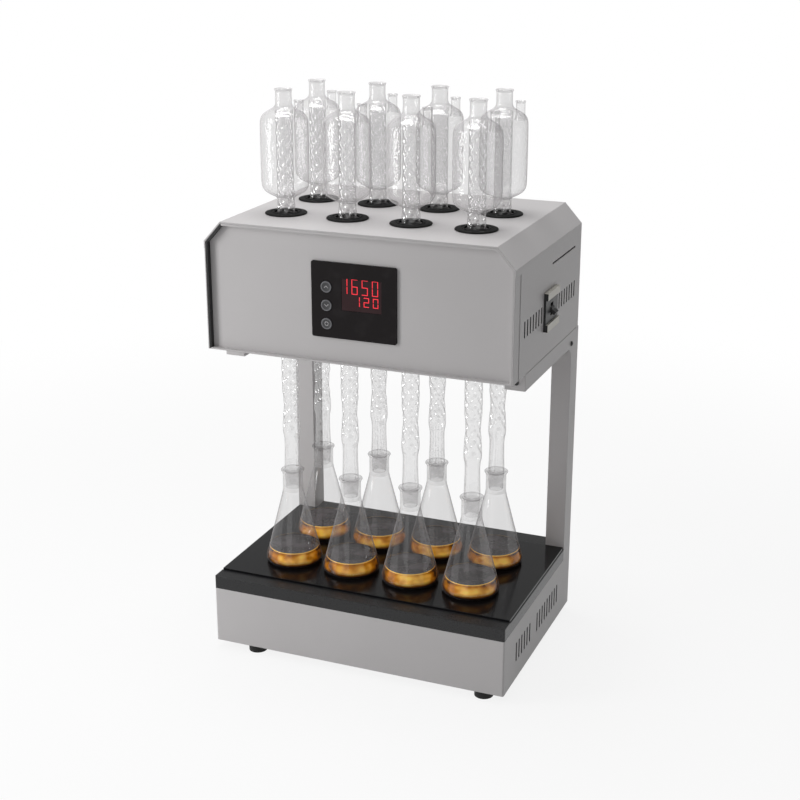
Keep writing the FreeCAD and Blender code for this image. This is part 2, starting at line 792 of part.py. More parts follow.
def make_head_cover():
    """The folded hood: sides, chamfers and top in one sheet, with holes, vents and cut-out."""
    body = new_body("head_cover")
    sheet = sketch_on(body, "sheet", "XZ_Plane", HEAD_FRONT)
    outer = head_section("0", HEAD_BOTTOM)
    inner = head_section("cover_sheet", HEAD_BOTTOM)
    outline(sheet, outer + list(reversed(inner)))
    pad(body, sheet, HEAD_DEPTH, towards="+")
    for side, towards in ((-1, "+"), (1, "-")):
        name = "band_left" if side < 0 else "band_right"
        band = sketch_on(body, name, "YZ_Plane", f"{side} * {HEAD_WIDTH} / 2")
        front = f"{HEAD_FRONT} - cut_overrun"
        rear = f"{HEAD_FRONT} + band_depth"
        top = f"{HEAD_TOP} - chamfer_height - band_top_gap"
        rectangle(band, front, rear, f"{HEAD_BOTTOM} - cut_overrun", top)
        pocket(body, band, "band_step", towards=towards)
    holes = sketch_on(body, "holes", "XY_Plane", HEAD_TOP)
    first_column(holes, "cover_hole_radius")
    every_column(body, pocket(body, holes, "cover_sheet + cut_overrun"), holes)
    low = f"{HEAD_BOTTOM} + head_vents_level - head_vent_height / 2"
    starts = {
        "vents_front": f"{HEAD_FRONT} + head_vents_front",
        "vents_rear": f"{HEAD_REAR} - head_vents_rear",
    }
    for name, start in starts.items():
        vent_row(body, name, start, low, "head_vent_height", "head_vent_count", HEAD_WIDTH)
    slit = sketch_on(body, "slit", "YZ_Plane")
    level = f"({HEAD_BOTTOM} + slit_level)"
    front = f"{HEAD_REAR} - slit_setback"
    rectangle(slit, front, f"{front} + slit_length", level, f"{level} + slit_height")
    pocket_both_ways(body, slit, f"{HEAD_WIDTH} + cut_overrun")
    window = sketch_on(body, "breaker_window", "YZ_Plane", f"{HEAD_WIDTH} / 2")
    width, height = "breaker_width + 2 * fit_gap", "breaker_height + 2 * fit_gap"
    box_round(window, "breaker_y", f"({HEAD_BOTTOM} + breaker_level)", width, height)
    pocket(body, window, "cover_sheet + cut_overrun")


def make_front_liner():
    """The black lining of the hood's front recess, a frame with a thin lip below."""
    body = new_body("front_liner")
    ring = sketch_on(body, "ring", "XZ_Plane", f"{HEAD_FRONT} + fit_gap")
    outer = "cover_sheet + slip_gap"
    outline(ring, head_section(outer, HEAD_BOTTOM))
    inner = f"{outer} + liner_thickness"
    outline(ring, head_section(inner, f"{HEAD_BOTTOM} + lip_thickness"))
    pad(body, ring, "recess_depth - fit_gap", towards="+")


def make_front_panel():
    """The recessed front sheet, with a cut-out behind the control panel."""
    body = new_body("front_panel")
    sheet = sketch_on(body, "sheet", "XZ_Plane", PANEL_FRONT)
    outline(sheet, head_section("cover_sheet + slip_gap", HEAD_BOTTOM))
    pad(body, sheet, "panel_sheet", towards="+")
    hole = sketch_on(body, "cut_out", "XZ_Plane", PANEL_FRONT)
    level = f"({HEAD_BOTTOM} + bezel_level)"
    width, height = "bezel_width - 2 * bezel_overlap", "bezel_height - 2 * bezel_overlap"
    box_round(hole, "bezel_x", level, width, height)
    pocket(body, hole, "panel_sheet + cut_overrun", towards="+")


def make_head_floor():
    """The head's bottom sheet with turned-up sides and a hole for each condenser."""
    body = new_body("head_floor")
    side = f"({HEAD_WIDTH} / 2 - cover_sheet - slip_gap)"
    sheet = sketch_on(body, "sheet", "XZ_Plane", f"{PANEL_BACK} + slip_gap")
    rise = f"{HEAD_BOTTOM} + floor_flange"
    outline(sheet, [
        (f"-{side}", HEAD_BOTTOM),
        (side, HEAD_BOTTOM),
        (side, rise),
        (f"{side} - floor_sheet", rise),
        (f"{side} - floor_sheet", FLOOR_TOP),
        (f"-{side} + floor_sheet", FLOOR_TOP),
        (f"-{side} + floor_sheet", rise),
        (f"-{side}", rise),
    ])
    depth = f"{HEAD_REAR} - rear_sheet - slip_gap - ({PANEL_BACK} + slip_gap)"
    pad(body, sheet, depth, towards="+")
    holes = sketch_on(body, "holes", "XY_Plane", FLOOR_TOP)
    first_column(holes, "floor_hole_radius")
    every_column(body, pocket(body, holes, "floor_sheet + cut_overrun"), holes)


FAN_LEVEL = f"({HEAD_BOTTOM} + fan_level)"


def fan_places():
    """The middle of each fan."""
    for side in (-1, 1):
        yield f"({side} * fan_spacing / 2)", FAN_LEVEL


def make_rear_panel():
    """The head's rear sheet with a ring of slots in front of each fan."""
    body = new_body("rear_panel")
    front = f"({HEAD_REAR} - rear_sheet)"
    sheet = sketch_on(body, "sheet", "XZ_Plane", front)
    outline(sheet, head_section("cover_sheet + slip_gap", HEAD_BOTTOM))
    pad(body, sheet, "rear_sheet", towards="+")
    slots = sketch_on(body, "slots", "XZ_Plane", HEAD_REAR)
    for x, z in fan_places():
        for number in range(SIZES["grille_slots"]):
            turn = f"({number} * 360 / grille_slots)"
            radial_slot(slots, x, z, turn)
    pocket(body, slots, "rear_sheet + cut_overrun", towards="-")


def radial_slot(sketch, x, z, turn):
    """A slot that points away from the middle of a grille and widens outwards."""
    inner, outer = "grille_inner_radius", "grille_outer_radius"
    half = "grille_slot_width / 2"
    narrow = f"({half} * {inner} / {outer} * 2)"
    ends = [(inner, f"-{narrow}"), (outer, f"-{half}"), (outer, half), (inner, narrow)]
    outline(sketch, [
        (
            f"{x} + ({along}) * cos({turn}) - ({across}) * sin({turn})",
            f"{z} + ({along}) * sin({turn}) + ({across}) * cos({turn})",
        )
        for along, across in ends
    ])


def make_collars():
    """The black collar on the hood round each condenser."""
    body = new_body("top_collars", many_solids=True)
    rings = sketch_on(body, "rings", "XY_Plane", HEAD_TOP)
    first_column(rings, "collar_radius")
    first_column(rings, "collar_bore_radius")
    every_column(body, pad(body, rings, "collar_height"), rings)


# Fans


FAN_FRONT = f"({HEAD_REAR} - rear_sheet - slip_gap - fan_depth)"


def make_fan_frames():
    """Two square fan frames, each with a bore, a motor plate and three struts."""
    body = new_body("fan_frames", many_solids=True)
    blocks = sketch_on(body, "blocks", "XZ_Plane", FAN_FRONT)
    for x, z in fan_places():
        box_round(blocks, x, z, "fan_side", "fan_side")
        many_sided(blocks, x, z, "fan_bore_radius")
    pad(body, blocks, "fan_depth", towards="+")
    struts = sketch_on(body, "struts", "XZ_Plane", FAN_FRONT)
    for x, z in fan_places():
        box_round(struts, x, z, "fan_side - fan_strut_width", "fan_strut_width")
    pad(body, struts, "fan_strut_depth", towards="+")
    motors = sketch_on(body, "motors", "XZ_Plane", FAN_FRONT)
    for x, z in fan_places():
        many_sided(motors, x, z, "fan_hub_radius")
    pad(body, motors, "fan_strut_depth", towards="+")


def make_fan_rotors():
    """The fan rotors: each a hub with pitched blades that turns about Y."""
    body = new_form("rotor_form")
    hub = sketch_on(body, "hub", "XZ_Plane")
    many_sided(hub, "0", "0", "fan_hub_radius")
    pad(body, hub, "fan_hub_depth", towards="+")
    blade = sketch_on(body, "blade", "YZ_Plane", "fan_hub_radius - fan_blade_thickness")
    turn = "fan_blade_pitch"
    half, thick = "fan_blade_chord / 2", "fan_blade_thickness / 2"
    ends = [(f"-{half}", f"-{thick}"), (half, f"-{thick}"), (half, thick), (f"-{half}", thick)]
    outline(blade, [
        (
            f"fan_hub_depth / 2 + ({a}) * cos({turn}) - ({b}) * sin({turn})",
            f"({a}) * sin({turn}) + ({b}) * cos({turn})",
        )
        for a, b in ends
    ])
    span = "fan_blade_radius - fan_hub_radius + fan_blade_thickness"
    ring_up(body, pad(body, blade, span), "Y_Axis", "fan_blade_count")
    back_gap = "(fan_depth - fan_strut_depth - fan_hub_depth) / 2"
    y = f"{FAN_FRONT} + fan_strut_depth + {back_gap}"
    for side, (x, z) in zip(("left", "right"), fan_places()):
        clone(f"{side}_fan_rotor", body, x, y, z)


# Control panel


BEZEL_FRONT = f"({PANEL_FRONT} - bezel_depth)"
BEZEL_LEVEL = f"({HEAD_BOTTOM} + bezel_level)"
WINDOW_LEVEL = f"({BEZEL_LEVEL} + window_rise)"


def button_levels():
    """The Z of each button, the highest first."""
    for number in range(SIZES["button_count"]):
        yield f"({BEZEL_LEVEL} + button_rise + ((button_count - 1) / 2 - {number}) * button_pitch)"


def make_control_bezel():
    """The black control panel with its display window and three round button holes."""
    body = new_body("control_bezel")
    face = sketch_on(body, "face", "XZ_Plane", BEZEL_FRONT)
    box_round(face, "bezel_x", BEZEL_LEVEL, "bezel_width", "bezel_height")
    pad(body, face, "bezel_depth", towards="+")

    def corner_edge(low, high):
        return abs(low.x - high.x) + abs(low.z - high.z) < abs(low.y - high.y) / 100

    round_edges(body, "bezel_corner_radius", corner_edge)
    window = sketch_on(body, "window", "XZ_Plane", BEZEL_FRONT)
    box_round(window, "window_x", WINDOW_LEVEL, "window_width", "window_height")
    pocket(body, window, "bezel_depth + cut_overrun", towards="+")
    holes = sketch_on(body, "button_holes", "XZ_Plane", BEZEL_FRONT)
    for level in button_levels():
        many_sided(holes, "button_x", level, "button_radius + fit_gap")
    pocket(body, holes, "bezel_depth + cut_overrun", towards="+")


def make_display_window():
    """The smoked window in the control panel."""
    body = new_body("display_window")
    pane = sketch_on(body, "pane", "XZ_Plane", f"{BEZEL_FRONT} + fit_gap")
    width, height = "window_width - 2 * slip_gap", "window_height - 2 * slip_gap"
    box_round(pane, "window_x", WINDOW_LEVEL, width, height)
    pad(body, pane, "window_sheet", towards="+")


BOARD_FRONT = f"({PANEL_BACK} + board_gap)"


def make_led_display():
    """The numeric display module, on the board behind the window."""
    body = new_body("led_display")
    block = sketch_on(body, "block", "XZ_Plane", f"{BOARD_FRONT} - display_depth")
    width, height = "window_width - 2 * panel_sheet", "window_height - 2 * panel_sheet"
    box_round(block, "window_x", WINDOW_LEVEL, width, height)
    pad(body, block, "display_depth", towards="+")


def make_control_board():
    """The controller board on four standoffs behind the front panel."""
    body = new_body("control_board")
    board = sketch_on(body, "board", "XZ_Plane", BOARD_FRONT)
    box_round(board, "bezel_x", BEZEL_LEVEL, "bezel_width", "bezel_height")
    pad(body, board, "board_sheet", towards="+")
    feet = sketch_on(body, "standoffs", "XZ_Plane", f"{PANEL_BACK}")
    for across in (-1, 1):
        for up in (-1, 1):
            x = f"bezel_x + {across} * (bezel_width / 2 - standoff_radius)"
            z = f"{BEZEL_LEVEL} + {up} * (bezel_height / 2 - standoff_radius)"
            box_round(feet, f"({x})", f"({z})", "standoff_radius", "standoff_radius")
    pad(body, feet, "board_gap", towards="+")
    switches = sketch_on(body, "switches", "XZ_Plane", BOARD_FRONT)
    for level in button_levels():
        box_round(switches, "button_x", level, "button_radius", "button_radius")
    reach = "board_gap + panel_sheet + bezel_depth - button_length - 2 * fit_gap"
    pad(body, switches, reach, towards="-")


def make_buttons():
    """The round buttons that slide in the control panel."""
    body = new_form("button_form")
    cap = sketch_on(body, "cap", "XZ_Plane")
    many_sided(cap, "0", "0", "button_radius")
    pad(body, cap, "button_length", towards="+")
    for number, level in enumerate(button_levels(), start=1):
        clone(f"button_{number}", body, "button_x", f"{BEZEL_FRONT} - button_proud", level)


# Breaker


BREAKER_LEVEL = f"({HEAD_BOTTOM} + breaker_level)"


def make_breaker():
    """The breaker: a nose in the hood's cut-out, a taller tail inside and a toggle slot."""
    body = new_body("breaker_body")
    nose = sketch_on(body, "nose", "YZ_Plane", BREAKER_FACE)
    box_round(nose, "breaker_y", BREAKER_LEVEL, "breaker_width", "breaker_height")
    pad(body, nose, "breaker_depth", towards="-")
    tail = sketch_on(body, "tail", "YZ_Plane", BREAKER_BACK)
    box_round(tail, "breaker_y", BREAKER_LEVEL, "breaker_width", "breaker_tail_height")
    pad(body, tail, "breaker_depth - breaker_proud - cover_sheet - breaker_step * 4", towards="+")
    step = sketch_on(body, "step", "YZ_Plane", BREAKER_FACE)
    height = "breaker_height / 2 - toggle_length"
    for up in (-1, 1):
        middle = f"({BREAKER_LEVEL} + {up} * (breaker_height - {height}) / 2)"
        box_round(step, "breaker_y", middle, "breaker_width + cut_overrun", height)
    pocket(body, step, "breaker_step")
    slot = sketch_on(body, "slot", "YZ_Plane", BREAKER_FACE)
    width = "toggle_width + 2 * fit_gap"
    box_round(slot, "breaker_y", BREAKER_LEVEL, width, "4 * toggle_hub_radius")
    pocket(body, slot, "2 * toggle_hub_radius + fit_gap")


def make_toggle():
    """The breaker's toggle: a hub in the slot and a lever that droops when it is off."""
    body = new_body("breaker_toggle")
    hub = sketch_on(body, "hub", "XZ_Plane", "-toggle_width / 2")
    many_sided(hub, "0", "0", "toggle_hub_radius - fit_gap")
    pad(body, hub, "toggle_width", towards="+")
    lever = sketch_on(body, "lever", "XZ_Plane", "-toggle_width / 2")
    turn = "(-toggle_droop)"
    half = "toggle_thickness / 2"
    ends = [("0", f"-{half}"), ("toggle_length", f"-{half}"), ("toggle_length", half), ("0", half)]
    outline(lever, [
        (
            f"({a}) * cos({turn}) - ({b}) * sin({turn})",
            f"({a}) * sin({turn}) + ({b}) * cos({turn})",
        )
        for a, b in ends
    ])
    pad(body, lever, "toggle_width", towards="+")
    place(body, TOGGLE_X, "breaker_y", BREAKER_LEVEL)


def make_bracket():
    """The bent bracket that carries the breaker on the head's floor."""
    body = new_body("breaker_bracket")
    profile = sketch_on(body, "profile", "XZ_Plane", "breaker_y - breaker_width / 2")
    right = f"({BREAKER_BACK} - slip_gap)"
    sheet = "bracket_sheet"
    top = f"{FLOOR_TOP} + bracket_height"
    outline(profile, [
        (right, FLOOR_TOP),
        (right, top),
        (f"{right} - {sheet}", top),
        (f"{right} - {sheet}", f"{FLOOR_TOP} + {sheet}"),
        (f"{right} - bracket_foot", f"{FLOOR_TOP} + {sheet}"),
        (f"{right} - bracket_foot", FLOOR_TOP),
    ])
    pad(body, profile, "breaker_width", towards="+")


# Glass


def turned(name, corners):
    """A form turned in flat sides round Z from an outline of radii and levels."""
    sketch = DOC.addObject("Sketcher::SketchObject", f"{name}_outline")
    outline(sketch, corners)
    DOC.recompute()
    rim = [vertex.Point for vertex in sketch.Shape.Wires[0].OrderedVertexes]
    sides = int(SHEET.get("round_sides"))
    turns = [2 * math.pi * number / sides for number in range(sides)]
    faces = []
    for start, stop in zip(rim, rim[1:] + rim[:1]):
        for turn, after in zip(turns, turns[1:] + turns[:1]):
            faces += flat_side(start, stop, turn, after)
    solid = Part.Solid(Part.makeShell(faces))
    if solid.Volume < 0:
        solid.reverse()
    form = DOC.addObject("Part::Feature", name)
    form.Shape = solid.removeSplitter()
    return form


def flat_side(start, stop, turn, after):
    """The face between two turns that one line of an outline sweeps, none along the axis."""
    corners = []
    for point, angle in ((start, turn), (stop, turn), (stop, after), (start, after)):
        corner = FreeCAD.Vector(point.x * math.cos(angle), point.x * math.sin(angle), point.y)
        if all(corner.distanceToPoint(other) > Part.Precision.confusion() for other in corners):
            corners.append(corner)
    if len(corners) < 3:
        return []
    return [Part.Face(Part.makePolygon(corners + corners[:1]))]


def prism(name, radius, x, low, height):
    """A many-sided upright prism for a nozzle or its bore."""
    block = DOC.addObject("Part::Prism", name)
    bind(block, "Polygon", "nozzle_sides")
    bind(block, "Circumradius", radius)
    bind(block, "Height", height)
    bind(block, "Placement.Base.x", x)
    bind(block, "Placement.Base.z", low)
    return block


def joined(name, base, tool, kind="Part::Fuse"):
    """Two forms fused, or the second cut out of the first."""
    form = DOC.addObject(kind, name)
    form.Base = base
    form.Tool = tool
    return form


def flask_form():
    """A conical flask with a ground socket in its neck."""
    throat_level = "(flask_height - joint_length)"
    return turned("flask_form", [
        ("0", "0"),
        ("flask_foot_radius", "0"),
        ("flask_base_radius", "flask_foot_rise"),
        ("flask_neck_radius", "flask_neck_start"),
        ("flask_neck_radius", "flask_height"),
        ("joint_top_radius + joint_gap", "flask_height"),
        (f"{JOINT_LOW_RADIUS} + joint_gap", throat_level),
        ("flask_base_radius - flask_wall", "flask_foot_rise"),
        ("flask_foot_radius - flask_wall / 2", "flask_floor"),
        ("0", "flask_floor"),
    ])


def sample_form():
    """The liquid in a flask: it follows the flask's wall up to its own level."""
    wall_low = "(flask_base_radius - flask_wall - joint_gap)"
    run = f"(flask_base_radius - flask_wall - {JOINT_LOW_RADIUS} - joint_gap)"
    climb = "(flask_height - joint_length - flask_foot_rise)"
    level = "(flask_foot_rise + sample_depth)"
    return turned("sample_form", [
        ("0", "flask_floor"),
        ("flask_foot_radius - flask_wall / 2 - joint_gap", "flask_floor"),
        (wall_low, "flask_foot_rise"),
        (f"{wall_low} - sample_depth * {run} / {climb}", level),
        ("0", level),
    ])


def condenser_form():
    """A reflux condenser: ground cone, waisted tube, water jacket, neck and filling nozzle."""
    jacket_full = "(jacket_start + jacket_bottom_rise)"
    jacket_shoulder = f"({jacket_full} + jacket_straight)"
    neck_start = f"({jacket_shoulder} + jacket_top_rise)"
    top = f"({neck_start} + neck_length)"
    plain_end = "(joint_length + plain_length)"
    waist = f"({plain_end} + shoulder_length + waist_half_length)"
    tube = turned("condenser_tube", [
        ("tube_bore_radius", "0"),
        (JOINT_LOW_RADIUS, "0"),
        ("joint_top_radius", "joint_length"),
        ("plain_radius", plain_end),
        ("tube_radius", f"{plain_end} + shoulder_length"),
        ("waist_radius", waist),
        ("tube_radius", f"{waist} + waist_half_length"),
        ("tube_radius", "jacket_start"),
        ("jacket_radius", jacket_full),
        ("jacket_radius", jacket_shoulder),
        ("neck_radius", neck_start),
        ("neck_radius", top),
        ("tube_bore_radius", top),
    ])
    water = turned("condenser_water", [
        ("inner_tube_radius", f"{jacket_full} - 2 * jacket_wall"),
        ("jacket_radius - jacket_wall", f"{jacket_full} + jacket_wall"),
        ("jacket_radius - jacket_wall", f"{jacket_shoulder} - jacket_wall"),
        ("inner_tube_radius", f"{neck_start} - 2 * jacket_wall"),
    ])
    low = f"({jacket_shoulder} - jacket_wall)"
    height = f"({top} - nozzle_top_gap - {low})"
    nozzle = prism("nozzle", "nozzle_radius", "nozzle_offset", low, height)
    reach = f"{height} + cut_overrun"
    bore = prism("nozzle_bore", "nozzle_bore_radius", "nozzle_offset", low, reach)
    solid = joined("condenser_solid", tube, nozzle)
    space = joined("condenser_space", water, bore)
    return joined("condenser_form", solid, space, "Part::Cut")


def make_glass():
    """A flask on each place, with its liquid, and a condenser in its ground socket."""
    flask = flask_form()
    sample = sample_form()
    condenser = condenser_form()
    for number, x, y in places():
        clone(f"flask_{number}", flask, x, y, PLATE_TOP)
        clone(f"sample_{number}", sample, x, y, f"{PLATE_TOP} + slip_gap")
        clone(f"condenser_{number}", condenser, x, y, CONE_START)


# Assembly


def build():
    """Make every sub-part."""
    write_sheet()
    make_base_shell()
    make_bottom_plate()
    make_feet()
    make_plate_frame()
    make_ceramic_plate()
    make_heater_tray()
    make_insulation()
    make_heaters()
    make_probe()
    make_relay()
    make_terminals()
    make_gland()
    make_upright("left_upright", -1)
    make_upright("right_upright", 1)
    make_head_cover()
    make_front_liner()
    make_front_panel()
    make_head_floor()
    make_rear_panel()
    make_collars()
    make_fan_frames()
    make_fan_rotors()
    make_control_bezel()
    make_display_window()
    make_led_display()
    make_control_board()
    make_buttons()
    make_breaker()
    make_toggle()
    make_bracket()
    make_glass()
    DOC.recompute()


def check():
    """Stop on any failed object, any empty or invalid shape and any cut that cut nothing."""
    for item in DOC.Objects:
        if any(word in ("Invalid", "Error") for word in item.State):
            raise RuntimeError(f"{item.Label} failed: {item.State}")
        if item.TypeId in ("PartDesign::Pocket", "PartDesign::Groove"):
            if item.Shape.Volume >= item.BaseFeature.Shape.Volume:
                raise RuntimeError(f"{item.Label} cut nothing")
    for part in PARTS:
        if part.Shape.isNull() or not part.Shape.isValid():
            raise RuntimeError(f"{part.Label} has no valid shape")


def export():
    """Write each sub-part to its own file."""
    os.makedirs("parts", exist_ok=True)
    for part in PARTS:
        part.Shape.exportStep(f"parts/{part.Label}.step")


build()
check()
export()
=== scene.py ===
"""Looks of the block digester: finishes for the frame's pieces, and the glass, keys and trim.

Metres, in the frame's own axes. Pieces that replace a frame node stand where the node stands.
"""

import logging
import math
from dataclasses import dataclass, field
from enum import Enum
from itertools import pairwise

import bpy
from mathutils import Matrix, Vector

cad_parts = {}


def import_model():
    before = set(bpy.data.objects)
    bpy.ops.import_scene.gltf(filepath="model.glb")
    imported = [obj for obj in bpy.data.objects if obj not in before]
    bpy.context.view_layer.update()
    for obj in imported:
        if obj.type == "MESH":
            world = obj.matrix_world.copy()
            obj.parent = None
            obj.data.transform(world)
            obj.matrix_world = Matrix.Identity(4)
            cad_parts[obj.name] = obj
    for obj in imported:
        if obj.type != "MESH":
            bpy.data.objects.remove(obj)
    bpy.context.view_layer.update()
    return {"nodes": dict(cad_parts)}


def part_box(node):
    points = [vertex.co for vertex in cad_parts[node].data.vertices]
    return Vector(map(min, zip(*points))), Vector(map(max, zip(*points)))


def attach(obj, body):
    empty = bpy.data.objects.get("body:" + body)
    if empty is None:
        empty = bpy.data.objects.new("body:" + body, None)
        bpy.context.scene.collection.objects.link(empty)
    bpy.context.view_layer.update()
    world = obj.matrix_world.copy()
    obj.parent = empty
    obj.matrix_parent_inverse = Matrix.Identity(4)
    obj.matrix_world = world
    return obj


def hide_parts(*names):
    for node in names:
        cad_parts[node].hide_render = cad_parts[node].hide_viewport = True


LOG = logging.getLogger("digester")
MM = 0.001
PLACES = range(1, 9)

WHITE = (1.0, 1.0, 1.0, 1.0)
NOISE_RANGE = (0.3, 0.7)

Colour = tuple[float, float, float]


# Shader tools


class Sock:
    """One socket in shader maths: arithmetic on it adds Math nodes."""

    def __init__(self, dress: "Dress", link: bpy.types.NodeSocket) -> None:
        """Keep the material and the socket.

        Args:
            dress: The material under construction.
            link: The output socket that carries the value.
        """
        self.dress = dress
        self.link = link

    def maths(self, operation: str, first: "Sock | float", second: "Sock | float") -> "Sock":
        """Add a Math node.

        Args:
            operation: Blender's name for the operation.
            first: The left operand.
            second: The right operand.

        Returns:
            The node's result.
        """
        return self.dress.add("ShaderNodeMath", {"operation": operation}, {0: first, 1: second})

    def __add__(self, other: "Sock | float") -> "Sock":
        """Sum."""
        return self.maths("ADD", self, other)

    __radd__ = __add__

    def __sub__(self, other: "Sock | float") -> "Sock":
        """Difference."""
        return self.maths("SUBTRACT", self, other)

    def __rsub__(self, other: "Sock | float") -> "Sock":
        """Reflected difference."""
        return self.maths("SUBTRACT", other, self)

    def __mul__(self, other: "Sock | float") -> "Sock":
        """Product."""
        return self.maths("MULTIPLY", self, other)

    __rmul__ = __mul__

    def __pow__(self, other: "Sock | float") -> "Sock":
        """Power."""
        return self.maths("POWER", self, other)

    def span(self, low: float, high: float, start: float, stop: float) -> "Sock":
        """Map one range smoothly on another.

        Args:
            low: Value that becomes start.
            high: Value that becomes stop.
            start: Result at the low end.
            stop: Result at the high end.

        Returns:
            The mapped value.
        """
        settings = {"interpolation_type": "SMOOTHSTEP"}
        inputs = {0: self, 1: low, 2: high, 3: start, 4: stop}
        return self.dress.add("ShaderNodeMapRange", settings, inputs)


class Dress:
    """A material, or the surround, while its nodes are laid."""

    def __init__(self, name: str, surround: bool = False) -> None:
        """Start without nodes.

        Args:
            name: Its name.
            surround: Whether it is the world's and not a surface's.
        """
        self.surround = surround
        self.material = (bpy.data.worlds if surround else bpy.data.materials).new(name)
        self.material.use_nodes = True
        self.material.node_tree.nodes.clear()

    def node(
        self, kind: str, settings: dict | None = None, inputs: dict | None = None
    ) -> bpy.types.Node:
        """Add one node, its settings first and then its sockets.

        Args:
            kind: The node's type.
            settings: Properties of the node; "stops" are a ramp's places and colours.
            inputs: Values or links by socket name or number.

        Returns:
            The node.
        """
        made = self.material.node_tree.nodes.new(kind)
        for key, value in (settings or {}).items():
            if key == "stops":
                self.set_stops(made, value)
            else:
                setattr(made, key, value)
        for key, value in (inputs or {}).items():
            if isinstance(value, Sock):
                self.material.node_tree.links.new(value.link, made.inputs[key])
            else:
                made.inputs[key].default_value = value
        return made

    @classmethod
    def set_stops(cls, ramp: bpy.types.Node, stops: list[tuple[float, Colour]]) -> None:
        """Give a colour ramp its stops.

        Args:
            ramp: The ramp node, new, with two stops.
            stops: Places from 0 to 1 with their colours, two or more.
        """
        elements = ramp.color_ramp.elements
        for place, _ in stops[2:]:
            elements.new(place)
        for element, (place, colour) in zip(elements, stops):
            element.position = place
            element.color = cls.opaque(colour)

    @staticmethod
    def opaque(value: "Sock | float | tuple") -> "Sock | float | tuple":
        """Add the alpha that a colour socket wants, and leave any other value as it is."""
        return (*value, 1) if isinstance(value, tuple) and len(value) == 3 else value

    def add(
        self,
        kind: str,
        settings: dict | None = None,
        inputs: dict | None = None,
        out: int | str = 0,
    ) -> Sock:
        """Add one node and hand on one of its outputs.

        Args:
            kind: The node's type.
            settings: Properties of the node.
            inputs: Values or links by socket name or number.
            out: The output's name or number.

        Returns:
            The output.
        """
        return Sock(self, self.node(kind, settings, inputs).outputs[out])

    def place(self, scale: tuple[float, float, float] | None = None) -> Sock:
        """The piece's own coordinates in metres.

        Args:
            scale: Factors along the three axes, none if left out.

        Returns:
            The coordinates.
        """
        spot = self.add("ShaderNodeTexCoord", out="Object")
        if scale is None:
            return spot
        return self.add("ShaderNodeMapping", None, {"Vector": spot, "Scale": scale})

    def noise(self, size: float, detail: float = 2.0, spot: Sock | None = None) -> Sock:
        """Soft noise.

        Args:
            size: Width of a blot in metres.
            detail: Number of finer layers.
            spot: Coordinates, the piece's own if left out.

        Returns:
            A value round one half.
        """
        inputs = {"Vector": spot or self.place(), "Scale": 1 / size, "Detail": detail}
        return self.add("ShaderNodeTexNoise", None, inputs)

    def blend(self, amount: Sock, first: Colour, second: "Colour | Sock") -> Sock:
        """Blend two colours.

        Args:
            amount: 0 for the first colour and 1 for the second.
            first: Linear red, green and blue.
            second: Linear red, green and blue, or a link that carries them.

        Returns:
            The colour.
        """
        inputs = {0: amount, 6: self.opaque(first), 7: self.opaque(second)}
        return self.add("ShaderNodeMix", {"data_type": "RGBA"}, inputs, out=2)

    def mixed(self, amount: "Sock | float", first: Sock, second: Sock) -> Sock:
        """Mix two shaders: the first at an amount of 0, the second at 1."""
        return self.add("ShaderNodeMixShader", None, {0: amount, 1: first, 2: second})

    def clear(self, tint: Colour) -> Sock:
        """Add a shader that lets light straight through and tints it."""
        return self.add("ShaderNodeBsdfTransparent", None, {"Color": self.opaque(tint)})

    def bump(self, height: Sock, depth: float, normal: Sock | None = None) -> Sock:
        """Relief that only the light sees.

        Args:
            height: Relief from 0 to 1.
            depth: Metres between 0 and 1.
            normal: The normal that it starts from.

        Returns:
            The new normal.
        """
        inputs = {"Height": height, "Distance": depth, "Strength": 1.0}
        if normal:
            inputs["Normal"] = normal
        return self.add("ShaderNodeBump", None, inputs)

    def facing(self, normal: Sock | None = None) -> Sock:
        """How far the surface turns away from the eye, from 0 to 1.

        Args:
            normal: The normal to judge by, the surface's own if left out.

        Returns:
            The value.
        """
        inputs = {"Blend": 0.5}
        if normal:
            inputs["Normal"] = normal
        return self.add("ShaderNodeLayerWeight", None, inputs, out="Facing")

    def eased(self, radius: float) -> Sock:
        """The normal with edges rounded for the light by a radius in metres."""
        return self.add("ShaderNodeBevel", {"samples": 4}, {"Radius": radius})

    def surface(self, **values: "Sock | float | tuple") -> Sock:
        """Add a Principled shader.

        Args:
            values: Sockets by name, with underscores for spaces.

        Returns:
            The shader.
        """
        inputs = {key.replace("_", " "): self.opaque(value) for key, value in values.items()}
        return self.add("ShaderNodeBsdfPrincipled", None, inputs)

    def rays(self, *kinds: str) -> Sock:
        """Tell the kinds of ray that meet the surface.

        Args:
            kinds: Kinds as the Light Path node names them, such as Camera.

        Returns:
            1 for a ray of one of these kinds and 0 for others; more for a ray of several kinds.
        """
        path = self.node("ShaderNodeLightPath")
        found = [Sock(self, path.outputs[f"Is {kind} Ray"]) for kind in kinds]
        return sum(found[1:], found[0])

    def finish(self, shader: Sock) -> bpy.types.Material | bpy.types.World:
        """Join the shader to the output.

        Args:
            shader: The shader.

        Returns:
            The material or world.
        """
        kind = "World" if self.surround else "Material"
        self.node(f"ShaderNodeOutput{kind}", None, {"Surface": shader})
        return self.material


# Finishes


def dimmed(colour: Colour, share: float) -> Colour:
    """Darken a colour to a share of its light."""
    return tuple(share * part for part in colour)


